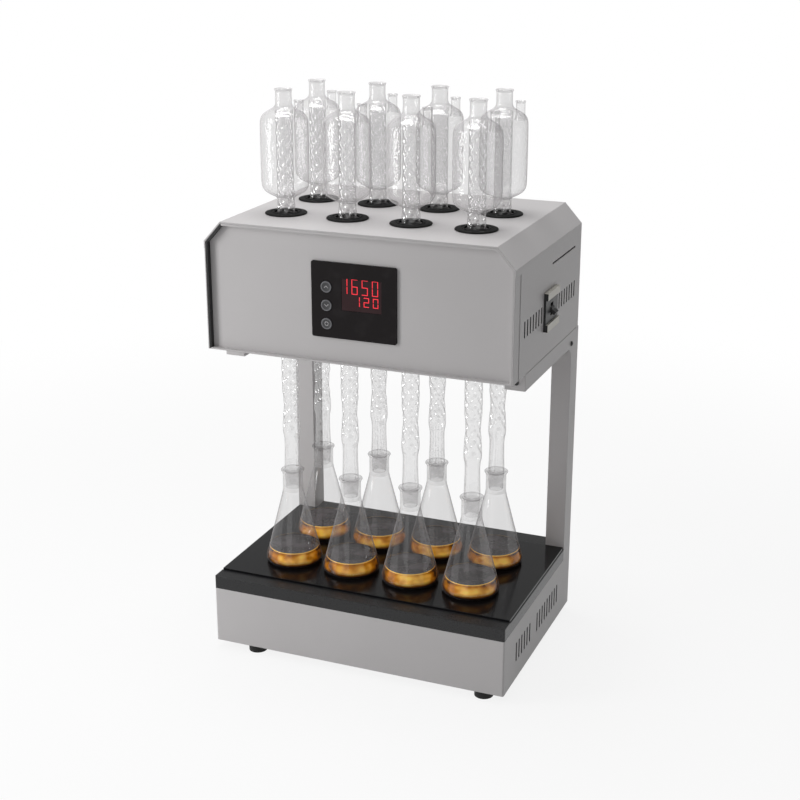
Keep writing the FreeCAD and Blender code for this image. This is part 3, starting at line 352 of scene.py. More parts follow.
@dataclass(frozen=True)
class PowderCoat:
    """Sprayed and baked paint with a fine texture."""

    name: str
    colour: Colour
    roughness: float = 0.42
    grain: float = 0.0011
    depth: float = 0.00003
    edge: float = 0.0012
    patch: float = 0.22
    darkest: float = 0.965

    def make(self) -> bpy.types.Material:
        """Lay the nodes.

        Returns:
            The material.
        """
        dress = Dress(self.name)
        tone = dress.noise(self.patch, 3.0).span(*NOISE_RANGE, 0.0, 1.0)
        grains = dress.noise(self.grain, 1.0)
        shiniest, dullest = self.roughness - 0.05, self.roughness + 0.07
        return dress.finish(dress.surface(
            Base_Color=dress.blend(tone, self.colour, dimmed(self.colour, self.darkest)),
            Roughness=grains.span(*NOISE_RANGE, shiniest, dullest),
            Specular_IOR_Level=0.4,
            Normal=dress.bump(grains, self.depth, dress.eased(self.edge)),
        ))


@dataclass(frozen=True)
class Moulding:
    """Moulded plastic or rubber: a plain colour, a slight grain and a little dust."""

    name: str
    colour: Colour
    roughness: float = 0.45
    grain: float = 0.0007
    depth: float = 0.00002
    edge: float = 0.0005
    shine: float = 0.5
    patch: float = 0.018
    lift: float = 1.12
    dust: float = 0.004
    dulling: float = 0.08

    def make(self) -> bpy.types.Material:
        """Lay the nodes.

        Returns:
            The material.
        """
        dress = Dress(self.name)
        grains = dress.noise(self.grain, 1.0)
        wear = dress.noise(self.patch, 3.0).span(0.45, 0.8, 0.0, 1.0)
        dusty = tuple(min(1.0, part * self.lift + self.dust) for part in self.colour)
        return dress.finish(dress.surface(
            Base_Color=dress.blend(wear, self.colour, dusty),
            Roughness=wear * self.dulling + self.roughness,
            Specular_IOR_Level=self.shine,
            Normal=dress.bump(grains, self.depth, dress.eased(self.edge)),
        ))


@dataclass(frozen=True)
class BareMetal:
    """Unpainted sheet or bar with drawn lines."""

    name: str
    colour: Colour = (0.56, 0.56, 0.55)
    roughness: float = 0.3
    lines: float = 0.0008
    stretch: tuple[float, float, float] = (0.04, 1.0, 1.0)
    depth: float = 0.00001
    edge: float = 0.0004
    darkest: float = 0.85

    def make(self) -> bpy.types.Material:
        """Lay the nodes.

        Returns:
            The material.
        """
        dress = Dress(self.name)
        streaks = dress.noise(self.lines, 2.0, dress.place(self.stretch))
        shiniest, dullest = self.roughness - 0.07, self.roughness + 0.1
        return dress.finish(dress.surface(
            Base_Color=dress.blend(streaks, self.colour, dimmed(self.colour, self.darkest)),
            Metallic=1.0,
            Roughness=streaks.span(*NOISE_RANGE, shiniest, dullest),
            Normal=dress.bump(streaks, self.depth, dress.eased(self.edge)),
        ))


@dataclass(frozen=True)
class GlassCeramic:
    """Polished black glass-ceramic with faint dust and rub marks."""

    name: str
    colour: Colour = (0.006, 0.006, 0.007)
    dusty: Colour = (0.024, 0.023, 0.023)
    roughness: float = 0.11
    dulling: float = 0.07
    speck: float = 0.006
    patch: float = 0.08
    edge: float = 0.0006

    def make(self) -> bpy.types.Material:
        """Lay the nodes.

        Returns:
            The material.
        """
        dress = Dress(self.name)
        dust = dress.noise(self.speck, 6.0).span(0.55, 0.9, 0.0, 1.0)
        rubs = dress.noise(self.patch, 3.0).span(0.35, 0.75, 0.0, 1.0)
        return dress.finish(dress.surface(
            Base_Color=dress.blend(dust, self.colour, self.dusty),
            Roughness=rubs * self.dulling + self.roughness,
            Specular_IOR_Level=0.3,
            Normal=dress.eased(self.edge),
        ))


@dataclass(frozen=True)
class ClearGlass:
    """Thin clear glass: see-through in front, painted grey shade at its edges, bright reflections.

    The wall shows by `body` in front and by `edge` more at its edges. The waves of its surface
    are `wave` wide and `ripple` deep. Its reflections have the share `gloss` and the blur `haze`.
    """

    name: str
    tint: Colour = (0.957, 0.955, 0.956)
    # painted shade: the grey that the glass shows towards its edges
    painted_edge_shade: Colour = (0.38, 0.37, 0.375)
    edge: float = 0.85
    body: float = 0.07
    gloss: float = 0.055
    ripple: float = 0.0
    wave: float = 0.009
    haze: float = 0.04
    narrowing: float = 3.5

    def make(self) -> bpy.types.Material:
        """Lay the nodes.

        Returns:
            The material.
        """
        dress = Dress(self.name)
        waves = dress.bump(dress.noise(self.wave, 2.0), self.ripple)
        facing = dress.facing(waves)
        # painted shade: this grey wall, mixed in by the facing and by `body`, stands in for the darker
        # surroundings that real glass bends and mirrors
        wall = dress.surface(
            Base_Color=self.painted_edge_shade, Roughness=0.2, Specular_IOR_Level=0.0, Normal=waves
        )
        painted_shade_share = facing ** self.narrowing * self.edge + self.body
        mirror = dress.add(
            "ShaderNodeBsdfGlossy", None, {"Color": WHITE, "Roughness": self.haze, "Normal": waves}
        )
        seen = dress.mixed(painted_shade_share, dress.clear(self.tint), wall)
        return dress.finish(dress.mixed(self.gloss, seen, mirror))


@dataclass(frozen=True)
class FrostedGlass:
    """Ground glass of a joint: pale and half see-through."""

    name: str
    cover: float = 0.2
    tint: Colour = (0.955, 0.953, 0.954)
    colour: Colour = (0.68, 0.67, 0.67)
    roughness: float = 0.55
    grain: float = 0.0006
    depth: float = 0.00002
    patch: float = 0.01

    def make(self) -> bpy.types.Material:
        """Lay the nodes.

        Returns:
            The material.
        """
        dress = Dress(self.name)
        relief = dress.bump(dress.noise(self.grain, 1.0), self.depth)
        ground = dress.surface(Base_Color=self.colour, Roughness=self.roughness, Normal=relief)
        thinnest, thickest = self.cover - 0.06, self.cover + 0.1
        cloud = dress.noise(self.patch, 2.0).span(0.2, 0.8, thinnest, thickest)
        return dress.finish(dress.mixed(cloud, dress.clear(self.tint), ground))


@dataclass(frozen=True)
class AmberLiquid:
    """The sample, amber, with painted glints, brim highlight, side shade, foot shade and glow.

    `level` is the height of its foot over the bench and `brim` that of its upper edge.
    """

    name: str
    painted_side_shade: Colour = (0.05, 0.016, 0.003)
    amber: Colour = (0.50, 0.17, 0.004)
    painted_glint_gold: Colour = (1.0, 0.60, 0.10)
    shade: Colour = (0.03, 0.012, 0.006)
    level: float = 0.1225
    brim: float = 0.1421
    glint: float = 0.016
    flattening: tuple[float, float, float] = (1.0, 1.0, 1.3)
    # painted light: strength of the liquid's glow, though it is no lamp
    glow: float = 0.3

    def make(self) -> bpy.types.Material:
        """Lay the nodes.

        Returns:
            The material.
        """
        dress = Dress(self.name)
        height = dress.add("ShaderNodeSeparateXYZ", None, {0: dress.place()}, out="Z")
        # painted highlights: noise glints brighten the amber where light would catch it
        glints = dress.noise(self.glint, 1.0, dress.place(self.flattening)) * 1.4
        # painted shade: a dark band under the brim; painted highlight: a bright line at the brim
        painted_brim_shade = height.span(self.brim - 0.006, self.brim - 0.001, 0.0, 0.3)
        line = height.span(self.brim - 0.0009, self.brim, 0.0, 0.9)
        # painted shade: the liquid turns brown towards its sides, where it turns from the eye
        light = glints - dress.facing() * 1.1 - painted_brim_shade + line + 0.1
        stops = [(0.0, self.painted_side_shade), (0.45, self.amber), (1.0, self.painted_glint_gold)]
        colour = dress.add("ShaderNodeValToRGB", {"stops": stops}, {0: light})
        # painted shade: dark at the foot, for the shade and the black plate's reflection where the flask
        # stands
        foot = height.span(self.level, self.level + 0.009, 0.0, 1.0)
        tone = dress.blend(foot, self.shade, colour)
        return dress.finish(dress.surface(
            Base_Color=tone,
            Roughness=0.12,
            Specular_IOR_Level=0.3,
            # painted light: the liquid glows in its own colours, though it is no lamp
            Emission_Color=tone,
            Emission_Strength=self.glow,
        ))


@dataclass(frozen=True)
class StillSurface:
    """The sample's surface: dark, with painted pale reflections of the light."""

    name: str
    dark: Colour = (0.022, 0.013, 0.011)
    pale: Colour = (0.105, 0.085, 0.090)
    patch: float = 0.028
    wave: float = 0.02
    ripple: float = 0.0003

    def make(self) -> bpy.types.Material:
        """Lay the nodes.

        Returns:
            The material.
        """
        dress = Dress(self.name)
        # painted reflections: pale blots on the dark surface stand in for the light that it mirrors
        painted_reflections = dress.noise(self.patch, 2.0).span(0.36, 0.66, 0.0, 1.0)
        return dress.finish(dress.surface(
            Base_Color=dress.blend(painted_reflections, self.dark, self.pale),
            Roughness=0.07,
            Specular_IOR_Level=0.4,
            Normal=dress.bump(dress.noise(self.wave, 1.0), self.ripple),
        ))


@dataclass(frozen=True)
class LitSegment:
    """A lit display segment."""

    name: str
    colour: Colour = (0.90, 0.025, 0.045)
    unlit: Colour = (0.2, 0.01, 0.01)
    strength: float = 1.15
    patch: float = 0.002
    dimmest: float = 0.8

    def make(self) -> bpy.types.Material:
        """Lay the nodes.

        Returns:
            The material.
        """
        dress = Dress(self.name)
        spread = dress.noise(self.patch, 1.0).span(0.2, 0.8, 0.0, 1.0)
        light = dress.blend(spread, self.colour, dimmed(self.colour, self.dimmest))
        return dress.finish(dress.surface(
            Base_Color=self.unlit,
            Roughness=0.4,
            Emission_Color=light,
            Emission_Strength=self.strength,
        ))


class Finish(Enum):
    """Every finish of the digester."""

    GREY = PowderCoat("light_grey_coat", (0.51, 0.495, 0.497))
    BLACK_COAT = PowderCoat("black_coat", (0.012, 0.012, 0.013), roughness=0.3)
    PLATE = GlassCeramic("glass_ceramic")
    STEEL = BareMetal("bare_steel")
    ALUMINIUM = BareMetal("heat_sink_metal", (0.7, 0.7, 0.71), 0.35)
    BLACK_PLASTIC = Moulding("black_plastic", (0.014, 0.014, 0.015))
    RUBBER = Moulding("black_rubber", (0.012, 0.012, 0.012), roughness=0.6, shine=0.3)
    COLLAR = Moulding("collar_rubber", (0.006, 0.006, 0.006), roughness=0.5, shine=0.12)
    BEZEL = Moulding("panel_foil", (0.007, 0.005, 0.0055), roughness=0.3, depth=0.000008, shine=0.14)
    WINDOW = Moulding("smoked_window", (0.022, 0.003, 0.005), roughness=0.12, depth=0.0, shine=0.25)
    KEY = Moulding("key_plastic", (0.03, 0.03, 0.033), roughness=0.4)
    KEY_RING = Moulding("key_ring", (0.13, 0.13, 0.14), roughness=0.4)
    KEY_MARK = Moulding("key_mark", (0.5, 0.49, 0.5), roughness=0.5)
    CREAM = Moulding("cream_plastic", (0.62, 0.60, 0.54), roughness=0.4)
    FIBRE = Moulding("fibre_board", (0.75, 0.72, 0.65), roughness=0.9, depth=0.0002, grain=0.0015)
    CERAMIC = Moulding("white_ceramic", (0.8, 0.79, 0.76), roughness=0.25)
    BOARD = Moulding("circuit_board", (0.02, 0.12, 0.05), roughness=0.35)
    GLASS = ClearGlass("clear_glass")
    WET_GLASS = ClearGlass("wet_glass", edge=0.35, body=0.0, gloss=0.03)
    JACKET = ClearGlass(
        "jacket_glass", (0.975, 0.973, 0.974), (0.6, 0.585, 0.59), 0.6, body=0.17, gloss=0.06,
        ripple=0.0012, wave=0.005, haze=0.11,
    )
    INNER_GLASS = ClearGlass(
        "inner_glass", painted_edge_shade=(0.45, 0.44, 0.445), edge=0.75, body=0.09, gloss=0.16, ripple=0.0014
    )
    FROSTED = FrostedGlass("ground_glass", cover=0.16)
    SOCKET = FrostedGlass("ground_socket", cover=0.22)
    LIQUID = AmberLiquid("amber_liquid")
    LIQUID_TOP = StillSurface("liquid_surface")
    DIGIT = LitSegment("lit_segment")


class Wardrobe:
    """Makes each finish once."""

    made: dict[Finish, bpy.types.Material] = {}

    @classmethod
    def get(cls, finish: Finish) -> bpy.types.Material:
        """Hand out a finish's material.

        Args:
            finish: The finish.

        Returns:
            The material.
        """
        if finish not in cls.made:
            cls.made[finish] = finish.value.make()
        return cls.made[finish]

    @classmethod
    def dress(cls, piece: bpy.types.Object, *finishes: Finish) -> None:
        """Give a piece its finishes, one per slot.

        Args:
            piece: The piece.
            finishes: The finishes.
        """
        piece.data.materials.clear()
        for finish in finishes:
            piece.data.materials.append(cls.get(finish))


# Modelling tools


@dataclass(frozen=True)
class RimPoint:
    """A point of an outline that is turned round an upright axis."""

    radius: float
    level: float


def rim(*pairs: tuple[float, float]) -> list[RimPoint]:
    """Turn millimetre pairs of radius and level into an outline.

    Args:
        pairs: Radius and level in millimetres.

    Returns:
        The outline in metres.
    """
    return [RimPoint(radius * MM, level * MM) for radius, level in pairs]


def middle(low: Vector, high: Vector, level: float) -> Vector:
    """The point at a level over or under the middle of a box."""
    return Vector(((low.x + high.x) / 2, (low.y + high.y) / 2, level))


class Bench:
    """Modelling by operators, one piece at a time."""

    smallest_ring = MM / 100

    @staticmethod
    def clear() -> None:
        """Deselect everything."""
        if bpy.context.object and bpy.context.object.mode != "OBJECT":
            bpy.ops.object.mode_set(mode="OBJECT")
        bpy.ops.object.select_all(action="DESELECT")

    @classmethod
    def pick(cls, *pieces: bpy.types.Object) -> None:
        """Select some pieces and nothing else.

        Args:
            pieces: The pieces; the first one becomes the active one.
        """
        cls.clear()
        for piece in pieces:
            piece.select_set(True)
        bpy.context.view_layer.objects.active = pieces[0]

    @staticmethod
    def edit_all(name: str) -> bpy.types.Object:
        """Name the new primitive and open it for editing, all of it selected.

        Args:
            name: The piece's name.

        Returns:
            The piece.
        """
        piece = bpy.context.object
        piece.name = piece.data.name = name
        bpy.ops.object.mode_set(mode="EDIT")
        bpy.ops.mesh.select_all(action="SELECT")
        return piece

    @classmethod
    def turned(
        cls, name: str, outline: list[RimPoint], sides: int = 48, closed: bool = False
    ) -> bpy.types.Object:
        """Raise an outline ring by ring round the upright axis.

        Args:
            name: The piece's name.
            outline: Radii and levels in order; a zero radius closes the end.
            sides: Corners of each ring.
            closed: Whether the last ring joins the first.

        Returns:
            The piece.
        """
        cls.clear()
        start, end = outline[0], outline[-1]
        bpy.ops.mesh.primitive_circle_add(vertices=sides, radius=max(start.radius, cls.smallest_ring))
        piece = cls.edit_all(name)
        bpy.ops.transform.translate(value=(0, 0, start.level))
        if start.radius == 0:
            bpy.ops.mesh.edge_face_add()
        for before, after in pairwise(outline):
            rise = (0, 0, after.level - before.level)
            bpy.ops.mesh.extrude_region_move(TRANSFORM_OT_translate={"value": rise})
            scale = max(after.radius, cls.smallest_ring) / max(before.radius, cls.smallest_ring)
            bpy.ops.transform.resize(value=(scale, scale, 1))
        if end.radius == 0:
            bpy.ops.mesh.merge(type="CENTER")
        bpy.ops.mesh.select_all(action="SELECT")
        if closed:
            bpy.ops.mesh.remove_doubles(threshold=MM / 50)
        bpy.ops.mesh.normals_make_consistent(inside=False)
        bpy.ops.object.mode_set(mode="OBJECT")
        return piece

    @classmethod
    def soften(cls, piece: bpy.types.Object, levels: int = 2) -> None:
        """Smooth a cage into a rounded surface.

        Args:
            piece: The piece.
            levels: Number of subdivisions.
        """
        cls.pick(piece)
        smooth = piece.modifiers.new("smooth", "SUBSURF")
        smooth.levels = smooth.render_levels = levels
        bpy.ops.object.modifier_apply(modifier=smooth.name)
        bpy.ops.object.shade_smooth()

    @classmethod
    def smooth_by_angle(cls, piece: bpy.types.Object, degrees: float = 35.0) -> None:
        """Shade a piece smooth except at edges sharper than an angle.

        Args:
            piece: The piece.
            degrees: The angle.
        """
        cls.pick(piece)
        bpy.ops.object.shade_smooth_by_angle(angle=math.radians(degrees))

    @classmethod
    def bevelled_box(cls, name: str, low: Vector, high: Vector, bevel: float) -> bpy.types.Object:
        """A box with bevelled edges.

        Args:
            name: The piece's name.
            low: Lowest corner.
            high: Highest corner.
            bevel: Width of the bevels.

        Returns:
            The piece.
        """
        cls.clear()
        bpy.ops.mesh.primitive_cube_add(size=1)
        piece = cls.edit_all(name)
        bpy.ops.transform.resize(value=tuple(high - low))
        bpy.ops.transform.translate(value=tuple((high + low) / 2))
        bpy.ops.mesh.bevel(offset=bevel, segments=1, affect="EDGES")
        bpy.ops.object.mode_set(mode="OBJECT")
        cls.smooth_by_angle(piece)
        return piece

    @classmethod
    def join(cls, name: str, *pieces: bpy.types.Object) -> bpy.types.Object:
        """Join pieces into one.

        Args:
            name: The new piece's name.
            pieces: The pieces, the first one stays.

        Returns:
            The joined piece.
        """
        cls.pick(*pieces)
        if len(pieces) > 1:
            bpy.ops.object.join()
        pieces[0].name = pieces[0].data.name = name
        return pieces[0]

    @staticmethod
    def moved_copy(form: bpy.types.Object, name: str, move: Matrix) -> bpy.types.Object:
        """Copy a form with its own mesh to another place.

        Args:
            form: The form to copy.
            name: The copy's name.
            move: Where it goes.

        Returns:
            The copy, its object at the origin.
        """
        copy = form.copy()
        copy.data = form.data.copy()
        copy.name = copy.data.name = name
        copy.data.transform(move)
        bpy.context.scene.collection.objects.link(copy)
        return copy

    @staticmethod
    def discard(*forms: bpy.types.Object) -> None:
        """Remove forms that only served for copies."""
        for form in forms:
            bpy.data.objects.remove(form)


# Glass


@dataclass
class GlassWare:
    """Eight flasks with their liquid and eight condensers; sizes in millimetres.

    A flask is ground between the levels of `socket` and wet below the level `filled`; `surface`
    is the liquid's level. The condenser's tube has dimples between the levels of `dimpled`,
    each pressed in by the share `dimple_depth` of the radius.
    """

    sides: int = 32
    socket: tuple[float, float] = (112.0, 140.0)
    filled: float = 23.0
    surface: float = 22.7
    nozzle_place: float = 23.0
    dimpled: tuple[float, float] = (88.0, 552.0)
    dimple_columns: int = 6
    dimple_depth: float = 0.5
    dimple_pitch: float = 8.5
    tube: float = 13.0
    jacket_tube: float = 12.4
    jacket_foot: float = 436.0

    def flask_form(self) -> bpy.types.Object:
        """The flask: heel, cone, neck and rolled rim.

        Returns:
            The form round the upright axis.
        """
        outline = rim(
            (0, 1.6), (30, 1.5), (36.5, 0.15), (40.5, 1.2), (42.4, 5.0), (42.0, 9.5), (39.6, 16),
            (34.5, 36), (29.0, 57), (23.5, 78), (18.8, 97), (16.0, 107), (15.1, 113), (15.0, 119),
            (15.0, 134), (15.1, 139.5), (16.4, 141.6), (17.4, 142.6), (17.5, 143.8), (16.3, 144.45),
            (14.2, 144.2), (13.0, 142.6), (12.4, 139),
        )
        piece = Bench.turned("flask_form", outline, self.sides)
        Bench.soften(piece)
        finishes = (Finish.GLASS, Finish.SOCKET, Finish.WET_GLASS)
        Wardrobe.dress(piece, *finishes)
        for face in piece.data.polygons:
            face.material_index = finishes.index(self.flask_finish(face.center.z / MM))
        return piece

    def flask_finish(self, level: float) -> Finish:
        """Tell a flask's finish at a level.

        Args:
            level: Height over the flask's foot in millimetres.

        Returns:
            Ground glass in the socket, wet glass round the liquid and clear glass elsewhere.
        """
        if self.socket[0] < level < self.socket[1]:
            return Finish.SOCKET
        return Finish.WET_GLASS if level < self.filled else Finish.GLASS

    def liquid_form(self) -> bpy.types.Object:
        """The liquid: it follows the wall and climbs it a little at its surface.

        Returns:
            The form round the upright axis.
        """
        outline = rim(
            (0, 2.4), (30, 2.4), (36.5, 1.6), (40.2, 3.0), (41.6, 5.6), (41.2, 9.5), (38.9, 16),
            (36.9, 23.2), (36.6, 24.0), (36.0, 23.3), (34.5, 22.9), (20, 22.8), (0, 22.8),
        )
        piece = Bench.turned("liquid_form", outline, self.sides)
        Bench.soften(piece)
        Wardrobe.dress(piece, Finish.LIQUID, Finish.LIQUID_TOP)
        surface = self.surface * MM
        for face in piece.data.polygons:
            face.material_index = int(face.center.z > surface and face.normal.z > 0.5)
        return piece

    def shell_form(self) -> bpy.types.Object:
        """The condenser's outside above the tube: shoulders, jacket, neck and rim.

        Returns:
            The form round the upright axis.
        """
        outline = rim(
            (13.2, 432.5), (14.5, 434.6), (21.5, 437.6), (28.8, 442.0), (32.6, 447.5), (33.5, 455),
            (33.5, 494), (33.5, 534), (32.6, 542), (29.0, 547.4), (21.5, 552.0), (14.2, 555.6),
            (11.7, 559), (11.2, 564), (11.2, 575), (11.4, 578.5), (12.6, 580), (12.6, 581.2),
            (11.4, 581.4), (10.0, 580.6), (9.4, 577),
        )
        piece = Bench.turned("shell_form", outline, self.sides)
        Bench.soften(piece)
        Wardrobe.dress(piece, Finish.JACKET)
        return piece

    def nozzle_form(self) -> bpy.types.Object:
        """The filling nozzle on the shoulder.

        Returns:
            The form at its place beside the upright axis.
        """
        outline = rim(
            (8.4, 541), (7.0, 545), (6.4, 549), (6.3, 556), (6.3, 562), (6.5, 564.5), (7.3, 565.8),
            (7.3, 566.8), (6.4, 567), (5.2, 566.4), (4.8, 563),
        )
        piece = Bench.turned("nozzle_form", outline, 20)
        Bench.soften(piece)
        piece.data.transform(Matrix.Translation((self.nozzle_place * MM, 0, 0)))
        Wardrobe.dress(piece, Finish.GLASS)
        return piece

    def tube_form(self) -> bpy.types.Object:
        """The dimpled tube from the cone up through the jacket.

        Returns:
            The form round the upright axis.
        """
        low, high = self.dimpled
        count = round((high - low) / self.dimple_pitch) * 2
        levels = [low + (high - low) * step / count for step in range(count + 1)]
        rings = [(12.0, 29), (11.6, 40), (10.9, 60), (10.7, 76), (11.6, 82), (12.8, 86)]
        rings += [(self.tube_radius(level), level) for level in levels[1:]]
        piece = Bench.turned("tube_form", rim(*rings), self.dimple_columns * 4)
        self.press_dimples(piece, levels[3:-2])
        Bench.soften(piece, 1)
        Wardrobe.dress(piece, Finish.INNER_GLASS)
        return piece

    def tube_radius(self, level: float) -> float:
        """The dimpled tube's radius: it has a waist over the cone and another under the jacket.

        Args:
            level: Height over the drip tip in millimetres.

        Returns:
            The radius in millimetres.
        """
        if level > self.jacket_foot:
            return self.jacket_tube
        low_waist = math.exp(-(((level - 130) / 16) ** 2)) * 2.1
        high_waist = math.exp(-(((level - 424) / 9) ** 2)) * 0.2
        return self.tube - low_waist - high_waist

    def press_dimples(self, piece: bpy.types.Object, levels: list[float]) -> None:
        """Press staggered dimples into a tube.

        Args:
            piece: The tube.
            levels: Levels of its rings in millimetres.
        """
        turn = 2 * math.pi / self.dimple_columns
        reach, scale = turn / 16, 1 - self.dimple_depth
        for number, level in enumerate(levels[::2]):
            Bench.pick(piece)
            shift = turn / 2 * (number % 2)
            for part in (*piece.data.vertices, *piece.data.edges, *piece.data.polygons):
                part.select = False
            for vertex in piece.data.vertices:
                angle = (math.atan2(vertex.co.y, vertex.co.x) - shift) % turn
                near = min(angle, turn - angle) < reach
                vertex.select = near and abs(vertex.co.z - level * MM) < MM / 2
            bpy.ops.object.mode_set(mode="EDIT")
            bpy.ops.transform.resize(value=(scale, scale, 1))
            bpy.ops.object.mode_set(mode="OBJECT")

    def cone_form(self) -> bpy.types.Object:
        """The ground cone with its drip tip.

        Returns:
            The form round the upright axis.
        """
        outline = rim(
            (8.9, 0.2), (10.3, 0.2), (10.5, 1.5), (11.2, 14), (11.9, 27.5), (12.0, 29.2), (11.8, 31)
        )
        piece = Bench.turned("cone_form", outline, self.sides)
        Bench.soften(piece, 1)
        Wardrobe.dress(piece, Finish.FROSTED)
        return piece

    def build(self) -> None:
        """Make each form once and set a copy on every place."""
        flask, liquid = self.flask_form(), self.liquid_form()
        condenser = Bench.join(
            "condenser_form", self.shell_form(), self.nozzle_form(), self.tube_form(), self.cone_form()
        )
        for number in PLACES:
            body, upper = f"flask_{number}_body", f"condenser_{number}"
            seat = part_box(f"flask_{number}")[0].z
            self.set_out(flask, f"flask_{number}", body, "flask_glass", seat)
            self.set_out(condenser, upper, f"{upper}_body", "condenser_glass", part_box(upper)[0].z)
            self.set_out(liquid, f"sample_{number}", body, "amber_liquid", seat)
        Bench.discard(flask, liquid, condenser)

    @staticmethod
    def set_out(form: bpy.types.Object, node: str, body: str, slot: str, level: float) -> None:
        """Copy a form to a node's place.

        Args:
            form: The form, round the upright axis.
            node: The frame node that it stands for.
            body: The body that carries it.
            slot: The record's material slot; not used.
            level: Height of the form's zero.
        """
        move = Matrix.Translation(middle(*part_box(node), level))
        piece = Bench.moved_copy(form, f"{node}_glass", move)
        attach(piece, body)
        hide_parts(node)
        LOG.info("%s: on %s", piece.name, body)


# Head trim


@dataclass
class Collars:
    """The black collar round each condenser; sizes in millimetres."""

    outer: float = 29.3
    bore: float = 16.5
    height: float = 3.0

    def build(self) -> None:
        """Turn one collar and set a copy round every condenser."""
        outer, bore, height = self.outer, self.bore, self.height
        outline = rim(
            (bore, 0.1), (outer - 0.4, 0.1), (outer, 0.5), (outer, 1.2), (outer - 0.5, 1.8),
            (outer - 3, 2.2), (bore + 5.2, height - 0.3), (bore + 4.4, height - 1.1),
            (bore + 3.4, height - 1.1), (bore + 2.6, height - 0.1), (bore + 0.8, height),
            (bore, height - 0.5), (bore, 0.1),
        )
        form = Bench.turned("collar_form", outline, 64, closed=True)
        Bench.smooth_by_angle(form, 50)
        Wardrobe.dress(form, Finish.COLLAR)
        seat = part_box("top_collars")[0].z
        copies = []
        for number in PLACES:
            move = Matrix.Translation(middle(*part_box(f"condenser_{number}"), seat))
            copies.append(Bench.moved_copy(form, f"collar_{number}", move))
        Bench.discard(form)
        piece = Bench.join("collars", *copies)
        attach(piece, "chassis")
        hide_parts("top_collars")
        LOG.info("%s: %d rings", piece.name, len(copies))


@dataclass(frozen=True)
class DigitRow:
    """A number on the display and the box that it fills, seen from the front."""

    left: float
    right: float
    low: float
    high: float
    number: str


@dataclass(frozen=True)
class Bar:
    """A stretch of a digit, in metres from the digit's lower left corner."""

    left: float
    low: float
    right: float
    high: float


